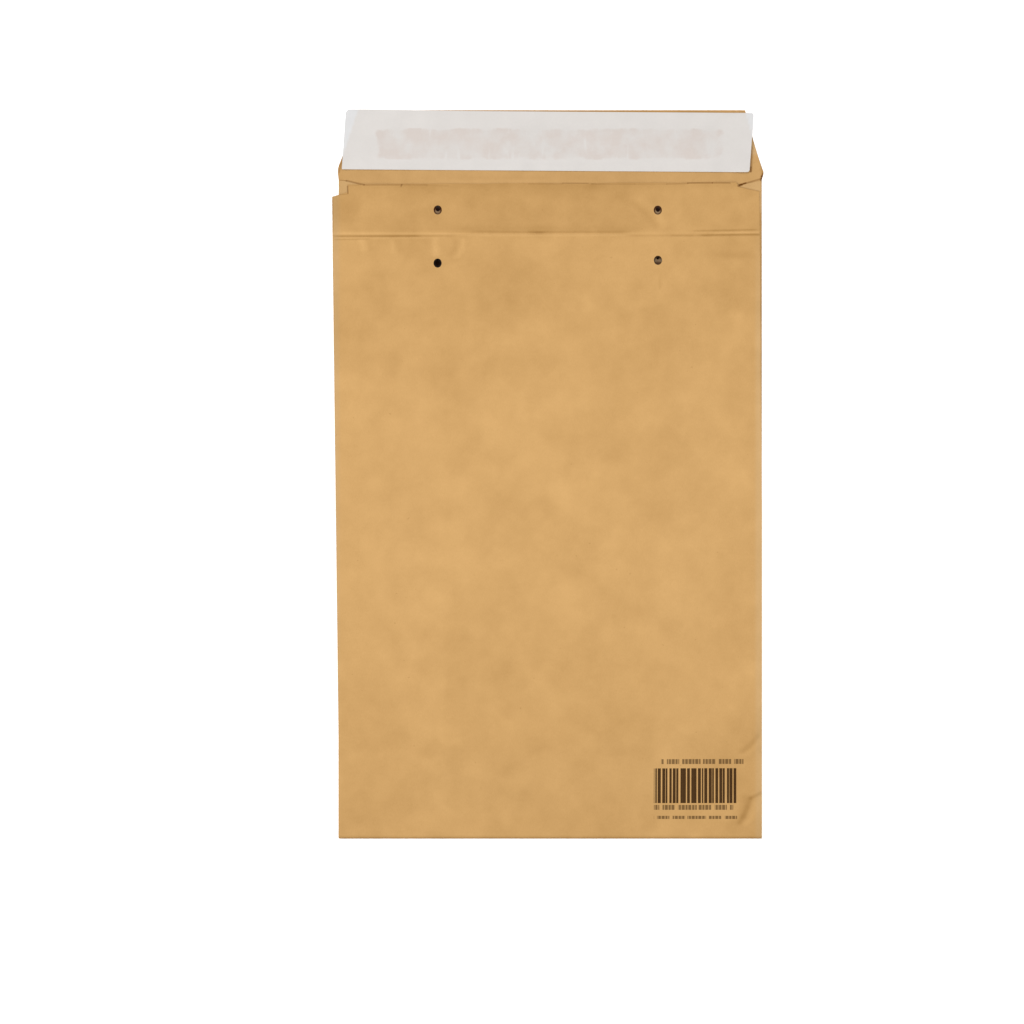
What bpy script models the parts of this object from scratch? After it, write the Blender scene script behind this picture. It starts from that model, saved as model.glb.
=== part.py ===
"""Padded mailing envelope, size C4, lying open on its front face. Metres, +Z up.

One kraft sheet is folded into the front panel, two side tabs, the back panel and the closing flap.
Inside it a lining pocket lies between two pads. Glue holds the tabs and the lining, and an adhesive
strip under a release liner closes the flap. Every piece is drawn in the envelope's own plan: u runs
across from the front panel's left fold, v runs up from the bottom fold, z runs up from the floor.
"""

import math

import bmesh
import bpy
import numpy as np

MM = 0.001

# Front panel and closing flap
FRONT_WIDTH = 240 * MM  # between the outsides of its two side folds
BODY_LENGTH = 342 * MM  # from the bottom fold to the crease
MOUTH_ABOVE_CREASE = 29 * MM
FLAP_LENGTH = 42 * MM  # from the mouth line to the flap's cut end
FLAP_TAPER_LENGTH = 35 * MM
FLAP_END_WIDTH = 219.5 * MM
FLAP_FLARE = 1.1 * MM  # how far its right shoulder stands outside the right fold
FLAP_LIFT = 2 * MM  # how far its cut end curls off the floor

# Side tabs, folded in from the front panel and glued under the back panel
TAB_WIDTH = 14 * MM
TAB_START = 7 * MM  # above the bottom fold
TAB_START_SLANT = 6 * MM
TAB_RISE = 2 * MM  # of its top corner above the mouth line, at the fold
TAB_FALL = 0.8 * MM  # of its inner corner below the mouth line

# Back panel, folded up from the bottom and set slightly to the left
BACK_OVERHANG = 3.7 * MM  # past the left fold, at its widest
OVERHANG_START = 60 * MM  # above the bottom fold
BACK_SHORTFALL = 1.4 * MM  # short of the right fold, at the mouth
SHORTFALL_START = 150 * MM  # above the bottom fold
NOTCH_WIDTH = 9 * MM
NOTCH_DEPTH = 5.3 * MM
NOTCH_SLANT = 2.4 * MM
SHOULDER_DROP = 3.4 * MM  # of the mouth edge across the right tab

# Thickness of each layer
PAPER = 0.3 * MM
PADDING = 1.6 * MM
LINING = 0.25 * MM
GLUE = 0.15 * MM
CLEARANCE = 0.2 * MM  # between layers that lie on each other
POUCH_AT_SEAM = 0.3 * MM  # inside height of the lining at its sealed edges
POUCH_AT_MIDDLE = 0.8 * MM

# Where the padding starts, and how far it takes to reach its full thickness
PADDING_FROM_TAB = 1 * MM
PADDING_FROM_BOTTOM = 8 * MM
PADDING_BELOW_MOUTH = 8 * MM
SIDE_RAMP = 30 * MM
BOTTOM_RAMP = 30 * MM
MOUTH_RAMP = 60 * MM
CREASE_HALF_WIDTH = 2.5 * MM
CREASE_CRUSH = 0.35  # share of the padding's rise that the crease presses out

# Lining pocket
LINING_INSET = 3 * MM  # from the side folds
LINING_FROM_BOTTOM = 4 * MM
LINING_BELOW_MOUTH = 4 * MM
MOUTH_GLUE_WIDTH = 2 * MM
SEAM_GLUE_INSET = 2 * MM  # from each edge of a tab

# Clasp holes, two above the crease and two below it
HOLE_DIAMETER = 4.3 * MM
HOLE_SPACING = 124.8 * MM
HOLE_FROM_CREASE = 14.8 * MM
HOLES_OFF_CENTRE = -1.6 * MM  # from the middle of the front panel
HOLE_SIDES = 20

# Adhesive strip and release liner on the flap
ADHESIVE_WIDTH = 193 * MM
ADHESIVE_HEIGHT = 19 * MM
ADHESIVE_FROM_END = 10 * MM  # from the flap's cut end to the strip
LINER_WIDTH = 231 * MM
LINER_HEIGHT = 33.4 * MM
LINER_FROM_END = 1 * MM
LINER_THICKNESS = 0.12 * MM
LINER_OFF_CENTRE = -1.4 * MM  # from the middle of the front panel
LINER_TURN = math.radians(-0.43)
LINER_END_SLANT = math.radians(4)  # of its two cut ends

# Cells in the grids that the sheets are drawn on
RAMP_STEPS = (0, 0.13, 0.32, 0.6, 1)
FOLD_CELLS = 6
FLAP_CELLS = 4

# Places along the envelope
CREASE = BODY_LENGTH
MOUTH = CREASE + MOUTH_ABOVE_CREASE
FLAP_START = MOUTH + TAB_RISE
FLAP_END = MOUTH + FLAP_LENGTH
FLAP_SHOULDER = FLAP_END - FLAP_TAPER_LENGTH
PADDING_END = MOUTH - PADDING_BELOW_MOUTH
NOTCH_FLOOR = MOUTH - NOTCH_DEPTH
WIDEST = NOTCH_FLOOR - NOTCH_SLANT  # the back panel's left corner
SEAM = TAB_WIDTH + PADDING_FROM_TAB  # width of the flat seam along each side

# Heights in the flat seams, and what the padding adds to each in the middle
FRONT_PAD_TOP = PAPER + CLEARANCE + GLUE
POUCH_FLOOR = FRONT_PAD_TOP + CLEARANCE + LINING
POUCH_ROOF = POUCH_FLOOR + POUCH_AT_SEAM
BACK_PAD_FLOOR = POUCH_ROOF + LINING + CLEARANCE
TAB_TOP = BACK_PAD_FLOOR + PAPER
BACK_PAD_TOP = TAB_TOP + CLEARANCE + GLUE
BACK_TOP = BACK_PAD_TOP + CLEARANCE + PAPER
FRONT_PAD_SWELL = PADDING - GLUE
POUCH_SWELL = POUCH_AT_MIDDLE - POUCH_AT_SEAM
BACK_PAD_SWELL = PADDING - (BACK_PAD_TOP - BACK_PAD_FLOOR)

SIDE_FOLD = TAB_TOP / 2  # outer radius
BOTTOM_FOLD = BACK_TOP / 2


def clear_scene():
    """Empties the scene of whatever it opened with."""
    for leftover in list(bpy.data.objects):
        bpy.data.objects.remove(leftover)


def material(name, colour, roughness):
    """A Principled BSDF of one colour, with no metal in it."""
    made = bpy.data.materials.new(name)
    made.use_nodes = True
    shader = made.node_tree.nodes["Principled BSDF"]
    shader.inputs["Base Color"].default_value = (*colour, 1)
    shader.inputs["Roughness"].default_value = roughness
    shader.inputs["Metallic"].default_value = 0
    return made


def ruled(*stops):
    """Sorted grid lines with no repeats."""
    return np.unique(np.round(np.concatenate([np.atleast_1d(s) for s in stops]), 9))


def ramp(start, end):
    """Grid lines from start to end, closest together at the start, where the padding is steepest."""
    return start + (end - start) * np.array(RAMP_STEPS)


def fullness(u, v):
    """0 in the seams, rising to 1 where the padding is at its full thickness, less at the crease."""
    side = np.minimum(u - SEAM, FRONT_WIDTH - SEAM - u) / SIDE_RAMP
    end = np.minimum((v - PADDING_FROM_BOTTOM) / BOTTOM_RAMP, (PADDING_END - v) / MOUTH_RAMP)
    inward = np.clip(np.minimum(side, end), 0, 1)
    crease = np.clip(1 - np.abs(v - CREASE) / CREASE_HALF_WIDTH, 0, 1)
    return (1 - (1 - inward) ** 2) * (1 - CREASE_CRUSH * crease)


def front_pad_top(u, v):
    return FRONT_PAD_TOP + FRONT_PAD_SWELL * fullness(u, v)


def pouch_floor(u, v):
    return POUCH_FLOOR + FRONT_PAD_SWELL * fullness(u, v)


def pouch_roof(u, v):
    return POUCH_ROOF + (FRONT_PAD_SWELL + POUCH_SWELL) * fullness(u, v)


def back_pad_floor(u, v):
    return BACK_PAD_FLOOR + (FRONT_PAD_SWELL + POUCH_SWELL) * fullness(u, v)


def back_pad_top(u, v):
    return BACK_PAD_TOP + (FRONT_PAD_SWELL + POUCH_SWELL + BACK_PAD_SWELL) * fullness(u, v)


def back_top(u, v):
    return BACK_TOP + (FRONT_PAD_SWELL + POUCH_SWELL + BACK_PAD_SWELL) * fullness(u, v)


def flap_floor(v):
    """Height of the flap's outside, which curls up from the top of the tabs to its cut end."""
    return FLAP_LIFT * np.clip((v - FLAP_START) / (FLAP_END - FLAP_START), 0, None) ** 2


def padded_columns():
    """Grid lines across the padding, shared by every layer over it."""
    left = ramp(SEAM, SEAM + SIDE_RAMP)
    return ruled(left, FRONT_WIDTH / 2, FRONT_WIDTH - left)


def padded_rows():
    """Grid lines along the padding, shared by every layer over it."""
    bottom = ramp(PADDING_FROM_BOTTOM, PADDING_FROM_BOTTOM + BOTTOM_RAMP)
    mouth = ramp(PADDING_END, PADDING_END - MOUTH_RAMP)
    crease = CREASE + CREASE_HALF_WIDTH * np.array((-1, 0, 1))
    clear_of_crease = np.abs(mouth - CREASE) > 2 * CREASE_HALF_WIDTH
    middle = np.linspace(bottom[-1], mouth[-1], 6)
    return ruled(bottom, middle, mouth[clear_of_crease], crease)


def grid(columns, rows, height):
    """Points of a sheet over columns and rows, as an array of columns. Height is a function of u and v."""
    u, v = np.meshgrid(columns, rows, indexing="ij")
    return np.stack([u, v, height(u, v) if callable(height) else np.full(u.shape, height)], axis=-1)


def add_patch(sheet, points, keep=None):
    """Adds quads through an array of points. Keep, where it is given, says which cells are there."""
    verts = [[sheet.verts.new(point) for point in column] for column in points]
    for i in range(len(verts) - 1):
        for j in range(len(verts[0]) - 1):
            if keep is None or keep[i][j]:
                sheet.faces.new((verts[i][j], verts[i + 1][j], verts[i + 1][j + 1], verts[i][j + 1]))


def weld(sheet):
    """Joins the patches of a sheet along the lines that they share, and drops the points of no face."""
    bmesh.ops.remove_doubles(sheet, verts=sheet.verts, dist=0.001 * MM)
    loose = [vert for vert in sheet.verts if not vert.link_faces]
    bmesh.ops.delete(sheet, geom=loose, context="VERTS")


def make_object(name, shape, finish, plan):
    """Turns a bmesh into a named object with its material, placed by the envelope's plan."""
    mesh = bpy.data.meshes.new(name)
    shape.to_mesh(mesh)
    shape.free()
    mesh.materials.append(finish)
    made = bpy.data.objects.new(name, mesh)
    bpy.context.scene.collection.objects.link(made)
    made.parent = plan
    return made


def thicken(sheet_object, thickness, side):
    """Gives a sheet its thickness: side -1 goes behind its faces and side 1 in front of them."""
    solidify = sheet_object.modifiers.new("thickness", "SOLIDIFY")
    solidify.thickness = thickness
    solidify.offset = side


def punch(piece, cutter):
    """Cuts the clasp holes through a piece."""
    holes = piece.modifiers.new("clasp_holes", "BOOLEAN")
    holes.operation = "DIFFERENCE"
    holes.solver = "EXACT"
    holes.object = cutter


def make_hole_cutter(plan):
    """Four upright pins, longer than the envelope is thick, where the clasp holes are punched."""
    shape = bmesh.new()
    middle = FRONT_WIDTH / 2 + HOLES_OFF_CENTRE
    tallest = BACK_TOP + 2 * PADDING + POUCH_AT_MIDDLE
    for across in (-1, 1):
        for along in (-1, 1):
            pin = bmesh.ops.create_cone(
                shape,
                cap_ends=True,
                segments=HOLE_SIDES,
                radius1=HOLE_DIAMETER / 2,
                radius2=HOLE_DIAMETER / 2,
                depth=3 * tallest,
            )
            place = (middle + across * HOLE_SPACING / 2, CREASE + along * HOLE_FROM_CREASE, 0)
            bmesh.ops.translate(shape, verts=pin["verts"], vec=place)
    cutter = make_object("hole_cutter", shape, None, plan)
    cutter.hide_render = True
    cutter.display_type = "WIRE"
    return cutter


def flap_plan(points):
    """Narrows or widens the part of the sheet above the tabs to the flap's outline."""
    u, v = points[..., 0], points[..., 1]
    flared = np.clip((v - FLAP_START) / (FLAP_SHOULDER - FLAP_START), 0, 1)
    tapered = np.clip((v - FLAP_SHOULDER) / FLAP_TAPER_LENGTH, 0, 1)
    cut_back = (FRONT_WIDTH + FLAP_FLARE - FLAP_END_WIDTH) / 2 * tapered
    right = FRONT_WIDTH + FLAP_FLARE * flared - cut_back
    points[..., 0] = cut_back + u / FRONT_WIDTH * (right - cut_back)
    points[..., 2] += flap_floor(v)
    return points


def set_left(v, start):
    """0 up to start, rising evenly to 1 at the back panel's left corner."""
    return np.clip((v - start) / (WIDEST - start), 0, None)


def back_plan(points):
    """Sets the back panel's cut edges to the left, more so towards the mouth, and shapes its mouth edge."""
    u, v = points[..., 0].copy(), points[..., 1].copy()
    left_seam = np.clip((SEAM - u) / SEAM, 0, 1)
    right_seam = np.clip((u - FRONT_WIDTH + SEAM) / SEAM, 0, 1)
    points[..., 0] -= BACK_OVERHANG * set_left(v, OVERHANG_START) * left_seam
    points[..., 0] -= BACK_SHORTFALL * set_left(v, SHORTFALL_START) * right_seam
    above_padding = v > PADDING_END
    points[..., 1] -= np.where(above_padding, SHOULDER_DROP * right_seam * (v - PADDING_END) / PADDING_BELOW_MOUTH, 0)
    in_notch = np.isclose(v, NOTCH_FLOOR) & (u < notch_edge())
    points[..., 1] -= np.where(in_notch, NOTCH_SLANT * (1 - u / notch_edge()), 0)
    return points


def notch_edge():
    """Where the notch's upright side stands across the plan, before the back panel is set to the left."""
    return SEAM * (NOTCH_WIDTH - BACK_OVERHANG) / (SEAM - BACK_OVERHANG)


def side_fold_and_tab(rows, left):
    """Points round a side fold and across its tab, from the front panel inwards."""
    turn = np.linspace(0, math.pi, FOLD_CELLS + 1)
    across = np.concatenate([SIDE_FOLD * (1 - np.sin(turn)), [TAB_WIDTH]])
    height = np.concatenate([SIDE_FOLD * (1 - np.cos(turn)), [TAB_TOP]])
    points = np.empty((len(across), len(rows), 3))
    points[..., 0] = (across if left else FRONT_WIDTH - across)[:, None]
    points[..., 1] = rows
    points[..., 2] = height[:, None]
    points[-1, 0, 1] += TAB_START_SLANT
    points[-1, -1, 1] -= TAB_RISE + TAB_FALL
    return points if left else points[::-1]


def make_kraft_sheet(finish, plan, cutter):
    """The one folded sheet: patches follow each other as on the flat blank, seen on its outside."""
    sheet = bmesh.new()
    inner_columns = ruled(SIDE_FOLD, notch_edge(), padded_columns(), FRONT_WIDTH - SIDE_FOLD)[::-1]
    columns = np.concatenate([[FRONT_WIDTH], inner_columns, [0]])
    tab_rows = ruled(TAB_START, np.linspace(TAB_START + 2 * TAB_START_SLANT, PADDING_END, 4), FLAP_START)
    flap_rows = ruled(FLAP_START, np.linspace(FLAP_SHOULDER, FLAP_END, FLAP_CELLS))

    add_patch(sheet, grid(columns, [BOTTOM_FOLD, TAB_START], 0))
    add_patch(sheet, grid(inner_columns, tab_rows, 0))
    add_patch(sheet, flap_plan(grid(columns, flap_rows, 0)))
    add_patch(sheet, side_fold_and_tab(tab_rows, left=True))
    add_patch(sheet, side_fold_and_tab(tab_rows, left=False))

    turn = np.linspace(math.pi, 0, FOLD_CELLS + 1)
    fold = grid(columns, turn, 0)
    fold[..., 1] = BOTTOM_FOLD * (1 - np.sin(turn))
    fold[..., 2] = BOTTOM_FOLD * (1 - np.cos(turn))
    add_patch(sheet, fold)

    rows = ruled(BOTTOM_FOLD, padded_rows(), NOTCH_FLOOR, MOUTH)[::-1]
    keep = np.ones((len(columns) - 1, len(rows) - 1), bool)
    keep[columns[1:] < notch_edge() - 0.1 * MM, 0] = False
    back = grid(columns, rows, back_top)
    set_in = back_plan(back.copy())
    set_in[:, -1] = back[:, -1]
    add_patch(sheet, set_in, keep)

    weld(sheet)
    made = make_object("kraft_envelope", sheet, finish, plan)
    thicken(made, PAPER, -1)
    punch(made, cutter)
    return made


def make_pad(name, floor, top, finish, plan, cutter):
    """A padding blanket between two heights, thin at its edges."""
    shape = bmesh.new()
    add_patch(shape, grid(padded_columns(), padded_rows(), floor))
    weld(shape)
    raised = bmesh.ops.extrude_face_region(shape, geom=shape.faces[:])["geom"]
    for vert in raised:
        if isinstance(vert, bmesh.types.BMVert):
            vert.co.z = top(vert.co.x, vert.co.y)
    bmesh.ops.recalc_face_normals(shape, faces=shape.faces)
    made = make_object(name, shape, finish, plan)
    punch(made, cutter)
    return made


def make_lining(finish, plan, cutter):
    """The lining pocket: two plies sealed to each other at both sides and the bottom, open at the mouth."""
    sheet = bmesh.new()
    columns = ruled(LINING_INSET, padded_columns(), FRONT_WIDTH - LINING_INSET)
    rows = ruled(LINING_FROM_BOTTOM, padded_rows(), MOUTH - LINING_BELOW_MOUTH)
    floor, roof = grid(columns, rows, pouch_floor), grid(columns, rows, pouch_roof)
    sealed = np.zeros(floor.shape[:2], bool)
    sealed[[0, -1], :] = True
    sealed[:, 0] = True
    middle = (floor[..., 2] + roof[..., 2]) / 2
    floor[..., 2] = np.where(sealed, middle, floor[..., 2])
    roof[..., 2] = np.where(sealed, middle, roof[..., 2])
    add_patch(sheet, floor[::-1])
    add_patch(sheet, roof)
    weld(sheet)
    made = make_object("lining_pocket", sheet, finish, plan)
    thicken(made, LINING, 1)
    punch(made, cutter)
    return made


def make_glue(name, low, high, finish, plan):
    """A flat run of glue between two corners."""
    shape = bmesh.new()
    bmesh.ops.create_cube(shape, size=1)
    low, high = np.array(low), np.array(high)
    bmesh.ops.scale(shape, verts=shape.verts, vec=high - low)
    made = make_object(name, shape, finish, plan)
    made.location = (low + high) / 2
    return made


def make_seam_glue(finish, plan):
    """One run on each side tab, under the back panel."""
    bottom = TAB_START + TAB_START_SLANT + SEAM_GLUE_INSET
    top = WIDEST - SEAM_GLUE_INSET
    low_z, high_z = TAB_TOP + CLEARANCE, TAB_TOP + CLEARANCE + GLUE
    inner, outer = TAB_WIDTH - SEAM_GLUE_INSET, SIDE_FOLD + SEAM_GLUE_INSET
    make_glue("left_seam_glue", (outer, bottom, low_z), (inner, top, high_z), finish, plan)
    right_low = (FRONT_WIDTH - inner, bottom, low_z)
    make_glue("right_seam_glue", right_low, (FRONT_WIDTH - outer, top, high_z), finish, plan)


def make_mouth_glue(finish, plan):
    """One run on each side of the lining's mouth: it holds the lining to the front and back panels."""
    top = MOUTH - LINING_BELOW_MOUTH - CLEARANCE
    bottom = top - MOUTH_GLUE_WIDTH
    left, right = SEAM, FRONT_WIDTH - SEAM
    front_low, front_high = PAPER + CLEARANCE, PAPER + CLEARANCE + GLUE
    make_glue("front_mouth_glue", (left, bottom, front_low), (right, top, front_high), finish, plan)
    make_glue("back_mouth_glue", (left, bottom, BACK_PAD_FLOOR), (right, top, BACK_PAD_TOP), finish, plan)


def make_strip(name, width, height, middle, thickness, above_flap, finish, plan, turn=0.0, slant=0.0):
    """A strip that follows the flap's curl, seen from above, turned and with slanted ends."""
    sheet = bmesh.new()
    flat = grid(np.linspace(width / 2, -width / 2, 5), np.linspace(height / 2, -height / 2, FLAP_CELLS), 0)
    across, along = flat[..., 0] + math.tan(slant) * flat[..., 1], flat[..., 1].copy()
    flat[..., 0] = middle[0] + across * math.cos(turn) - along * math.sin(turn)
    flat[..., 1] = middle[1] + across * math.sin(turn) + along * math.cos(turn)
    flat[..., 2] = above_flap + flap_floor(flat[..., 1])
    add_patch(sheet, flat)
    made = make_object(name, sheet, finish, plan)
    thicken(made, thickness, 1)
    return made


def make_flap_closure(adhesive_finish, liner_finish, plan):
    """The adhesive strip on the flap's inside, and the release liner over it."""
    middle = FRONT_WIDTH / 2
    adhesive_middle = (middle, FLAP_END - ADHESIVE_FROM_END - ADHESIVE_HEIGHT / 2)
    liner_middle = (middle + LINER_OFF_CENTRE, FLAP_END - LINER_FROM_END - LINER_HEIGHT / 2)
    on_flap = PAPER + CLEARANCE
    on_adhesive = on_flap + GLUE + CLEARANCE
    make_strip("flap_adhesive", ADHESIVE_WIDTH, ADHESIVE_HEIGHT, adhesive_middle, GLUE, on_flap,
               adhesive_finish, plan)
    make_strip("release_liner", LINER_WIDTH, LINER_HEIGHT, liner_middle, LINER_THICKNESS, on_adhesive,
               liner_finish, plan, LINER_TURN, LINER_END_SLANT)


def main():
    clear_scene()
    plan = bpy.data.objects.new("envelope_plan", None)
    bpy.context.scene.collection.objects.link(plan)
    plan.location = ((BACK_OVERHANG - FRONT_WIDTH - FLAP_FLARE) / 2, -FLAP_END / 2, 0)

    kraft = material("kraft_paper", (0.66, 0.385, 0.152), 0.55)
    fibre = material("fibre_padding", (0.42, 0.36, 0.29), 0.95)
    tissue = material("lining_tissue", (0.6, 0.5, 0.36), 0.7)
    glue = material("seam_glue", (0.72, 0.66, 0.5), 0.35)
    adhesive = material("flap_adhesive", (0.74, 0.64, 0.5), 0.25)
    silicone = material("liner_paper", (0.74, 0.72, 0.69), 0.4)

    cutter = make_hole_cutter(plan)
    make_kraft_sheet(kraft, plan, cutter)
    make_pad("front_padding", PAPER + CLEARANCE, front_pad_top, fibre, plan, cutter)
    make_pad("back_padding", back_pad_floor, back_pad_top, fibre, plan, cutter)
    make_lining(tissue, plan, cutter)
    make_seam_glue(glue, plan)
    make_mouth_glue(glue, plan)
    make_flap_closure(adhesive, silicone, plan)


main()
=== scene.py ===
"""Padded mailing envelope, lying open on its front face: its paper, padding, closure and studio.

The plan of the envelope is measured in u, across from the front panel's left fold, and v, up from
the bottom fold. Heights are measured from the floor. All lengths are in metres.
"""

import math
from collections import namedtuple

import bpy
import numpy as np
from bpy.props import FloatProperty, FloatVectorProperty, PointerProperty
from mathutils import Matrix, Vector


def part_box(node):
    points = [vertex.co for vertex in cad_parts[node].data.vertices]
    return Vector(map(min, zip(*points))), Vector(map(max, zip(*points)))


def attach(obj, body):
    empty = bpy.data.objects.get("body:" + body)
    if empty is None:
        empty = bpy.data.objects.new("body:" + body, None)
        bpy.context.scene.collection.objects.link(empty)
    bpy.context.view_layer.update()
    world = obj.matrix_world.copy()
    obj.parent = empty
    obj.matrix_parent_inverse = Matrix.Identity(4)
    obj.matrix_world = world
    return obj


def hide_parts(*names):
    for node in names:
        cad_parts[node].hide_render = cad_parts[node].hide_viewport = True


bl_info = {
    "name": "Padded Envelope",
    "version": (1, 0, 0),
    "blender": (4, 5, 0),
    "location": "3D View > Sidebar > Envelope",
    "description": "Builds the surfaces, finishes and studio of an open padded mailing envelope",
    "category": "Object",
}

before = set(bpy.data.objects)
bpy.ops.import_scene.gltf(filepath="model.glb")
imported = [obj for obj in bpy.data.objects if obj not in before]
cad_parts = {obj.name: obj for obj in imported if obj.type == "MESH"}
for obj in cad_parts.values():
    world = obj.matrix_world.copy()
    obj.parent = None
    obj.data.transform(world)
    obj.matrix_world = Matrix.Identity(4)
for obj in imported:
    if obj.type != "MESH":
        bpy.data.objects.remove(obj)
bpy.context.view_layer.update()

MM = 0.001
OVERHANG = 3.7 * MM
SHEET_LOW, SHEET_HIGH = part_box("kraft_envelope")
LINING_LOW, LINING_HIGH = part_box("lining_pocket")
PAD_LOW, PAD_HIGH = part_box("back_padding")


def length(name, value, description):
    """A property in metres."""
    return FloatProperty(name=name, description=description, default=value, unit="LENGTH", precision=5)


def share(name, value, description):
    """A property from 0 to 1."""
    return FloatProperty(name=name, description=description, default=value, min=0, max=1,
                         subtype="FACTOR")


def angle(name, degrees, description):
    """A property that holds an angle."""
    return FloatProperty(name=name, description=description, default=math.radians(degrees),
                         subtype="ANGLE")


def colour(name, value, description):
    """A property that holds a linear colour."""
    return FloatVectorProperty(name=name, description=description, default=value, size=3, min=0, max=1,
                               subtype="COLOR")


def watts(name, value, description):
    """A light's power."""
    return FloatProperty(name=name, description=description, default=value, min=0, unit="POWER")


class EnvelopeSizes(bpy.types.PropertyGroup):
    """Sizes of the paper, its folds and what lies between them."""

    front_width: length("Front width", 0.24, "Front panel between its side folds")
    overhang: length("Overhang", OVERHANG, "Back panel past the left fold, at its widest")
    overhang_start: length("Overhang start", 0.06, "Where the back panel stands out on the left")
    shortfall: length("Shortfall", 0.0014, "Back panel short of the right fold, at the mouth")
    shortfall_start: length("Shortfall start", 0.19, "Where the back panel falls short on the right")
    crease: length("Crease", 0.342, "Bottom fold to crease")
    mouth: length("Mouth", 0.371, "Bottom fold to mouth edge")
    flap_end: length("Flap end", SHEET_HIGH[1] - SHEET_LOW[1], "Bottom fold to the flap's cut end")
    flap_taper: length("Flap taper", 0.035, "Length of the flap's slanted sides")
    flap_end_width: length("Flap end width", 0.2195, "Width of the flap's cut end")
    flap_flare: length("Flap flare", 0.0013, "Flap's right shoulder outside the right fold")
    left_flare: length("Left flare", 0.0005, "Flap's left shoulder outside the left fold")
    left_shoulder: length("Left shoulder", 0.0030, "Flap's left shoulder beyond its right one")
    flap_lift: length("Flap lift", 0.0016, "Curl of the flap's cut end off the floor")
    tab_width: length("Tab width", 0.014, "Side tab from its fold")
    tab_start: length("Tab start", 0.007, "Bottom fold to the side tabs")
    tab_slant: length("Tab slant", 0.006, "Slant of a tab's lower end")
    tab_rise: length("Tab rise", 0.002, "Top of a tab above the mouth edge, at its fold")
    tab_fall: length("Tab fall", 0.0008, "Inner corner of a tab below the mouth edge")
    notch_width: length("Notch width", 0.009, "Notch in the back panel's left corner, across")
    notch_depth: length("Notch depth", 0.0045, "Notch in the back panel's left corner, down its side")
    notch_slant: length("Notch slant", 0.0024, "Slant of the notch's floor")
    mouth_slant: length("Mouth slant", 0.0011, "Mouth edge higher at its right end")
    shoulder_drop: length("Shoulder drop", 0.0050, "Mouth edge lower over the right tab, at its fold")
    shoulder_step: length("Shoulder step", 0.0022, "Part of that drop at the tab's inner corner")
    paper: length("Paper", 0.00025, "Thickness of the kraft sheet")
    tab_height: length("Tab height", 0.00175, "Floor to the top of a tab")
    tab_end_height: length("Tab end height", 0.0007, "Floor to the top of a tab, at the mouth")
    glue_height: length("Glue height", 0.0002, "Tab to the back panel's underside")
    mouth_height: length("Mouth height", 0.0007, "Floor to the back panel at the middle of the mouth")
    full_height: length("Full height", SHEET_HIGH[2], "Floor to the back panel over full padding")
    seam: length("Seam", 0.015, "Width of the flat seam along each side")
    side_ramp: length("Side ramp", 0.052, "Padding's rise from each side seam")
    bottom_ramp: length("Bottom ramp", 0.052, "Padding's rise from the bottom")
    mouth_ramp: length("Mouth ramp", 0.062, "Padding's rise from the mouth")
    hole_radius: length("Hole radius", 0.00232, "Radius of a clasp hole")
    hole_spacing: length("Hole spacing", 0.1248, "Clasp holes across")
    hole_from_crease: length("Hole from crease", 0.0148, "Clasp holes above and below the crease")
    holes_off_centre: length("Holes off centre", -0.0014, "Clasp holes from the front panel's middle")


class ClosureSizes(bpy.types.PropertyGroup):
    """Sizes of the adhesive strip and of the release liner on the flap."""

    adhesive_width: length("Adhesive width", 0.193, "Adhesive strip across")
    adhesive_height: length("Adhesive height", 0.0187, "Adhesive strip along the flap")
    adhesive_from_end: length("Adhesive from end", 0.0098, "Flap's cut end to the strip")
    liner_width: length("Liner width", 0.2312, "Release liner across")
    liner_height: length("Liner height", 0.0339, "Release liner along the flap")
    liner_sag: length("Liner sag", 0.00048, "Liner's outer edge lower over its right part")
    liner_from_end: length("Liner from end", 0.00035, "Flap's cut end to the liner, at the middle")
    liner_off_centre: length("Liner off centre", -0.0014, "Liner from the front panel's middle")
    liner_corner: length("Liner corner", 0.0014, "Radius of the liner's corners")
    liner_thickness: length("Liner thickness", 0.00008, "Thickness of the liner")
    liner_turn: angle("Liner turn", -0.40, "Turn of the liner on the flap")
    liner_slant: angle("Liner slant", 3.7, "Slant of the liner's cut ends")


class EnvelopeColours(bpy.types.PropertyGroup):
    """Colours of each material."""

    kraft: colour("Kraft", (0.494, 0.289, 0.108), "Outside of the kraft paper")
    kraft_inside: colour("Kraft inside", (0.452, 0.265, 0.102), "Inside of the kraft paper")
    kraft_dark: colour("Kraft bruise", (0.20, 0.088, 0.018), "Kraft paper where a fold has bruised it")
    ink: colour("Ink", (0.036, 0.013, 0.0004), "Plain printed bars")
    fibre: colour("Fibre", (0.3, 0.27, 0.23), "Shredded fibre of the pads")
    lining: colour("Lining", (0.50, 0.37, 0.22), "Lining tissue")
    glue: colour("Glue", (0.66, 0.58, 0.42), "Dried paper glue")
    adhesive: colour("Adhesive", (0.7, 0.6, 0.46), "Adhesive on the flap")
    liner: colour("Liner", (0.54, 0.513, 0.489), "Release liner")
    liner_stuck: colour("Liner stuck", (0.498, 0.447, 0.414), "Release liner on the adhesive")
    floor: colour("Floor", (0.95, 0.95, 0.95), "Studio floor")


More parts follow.
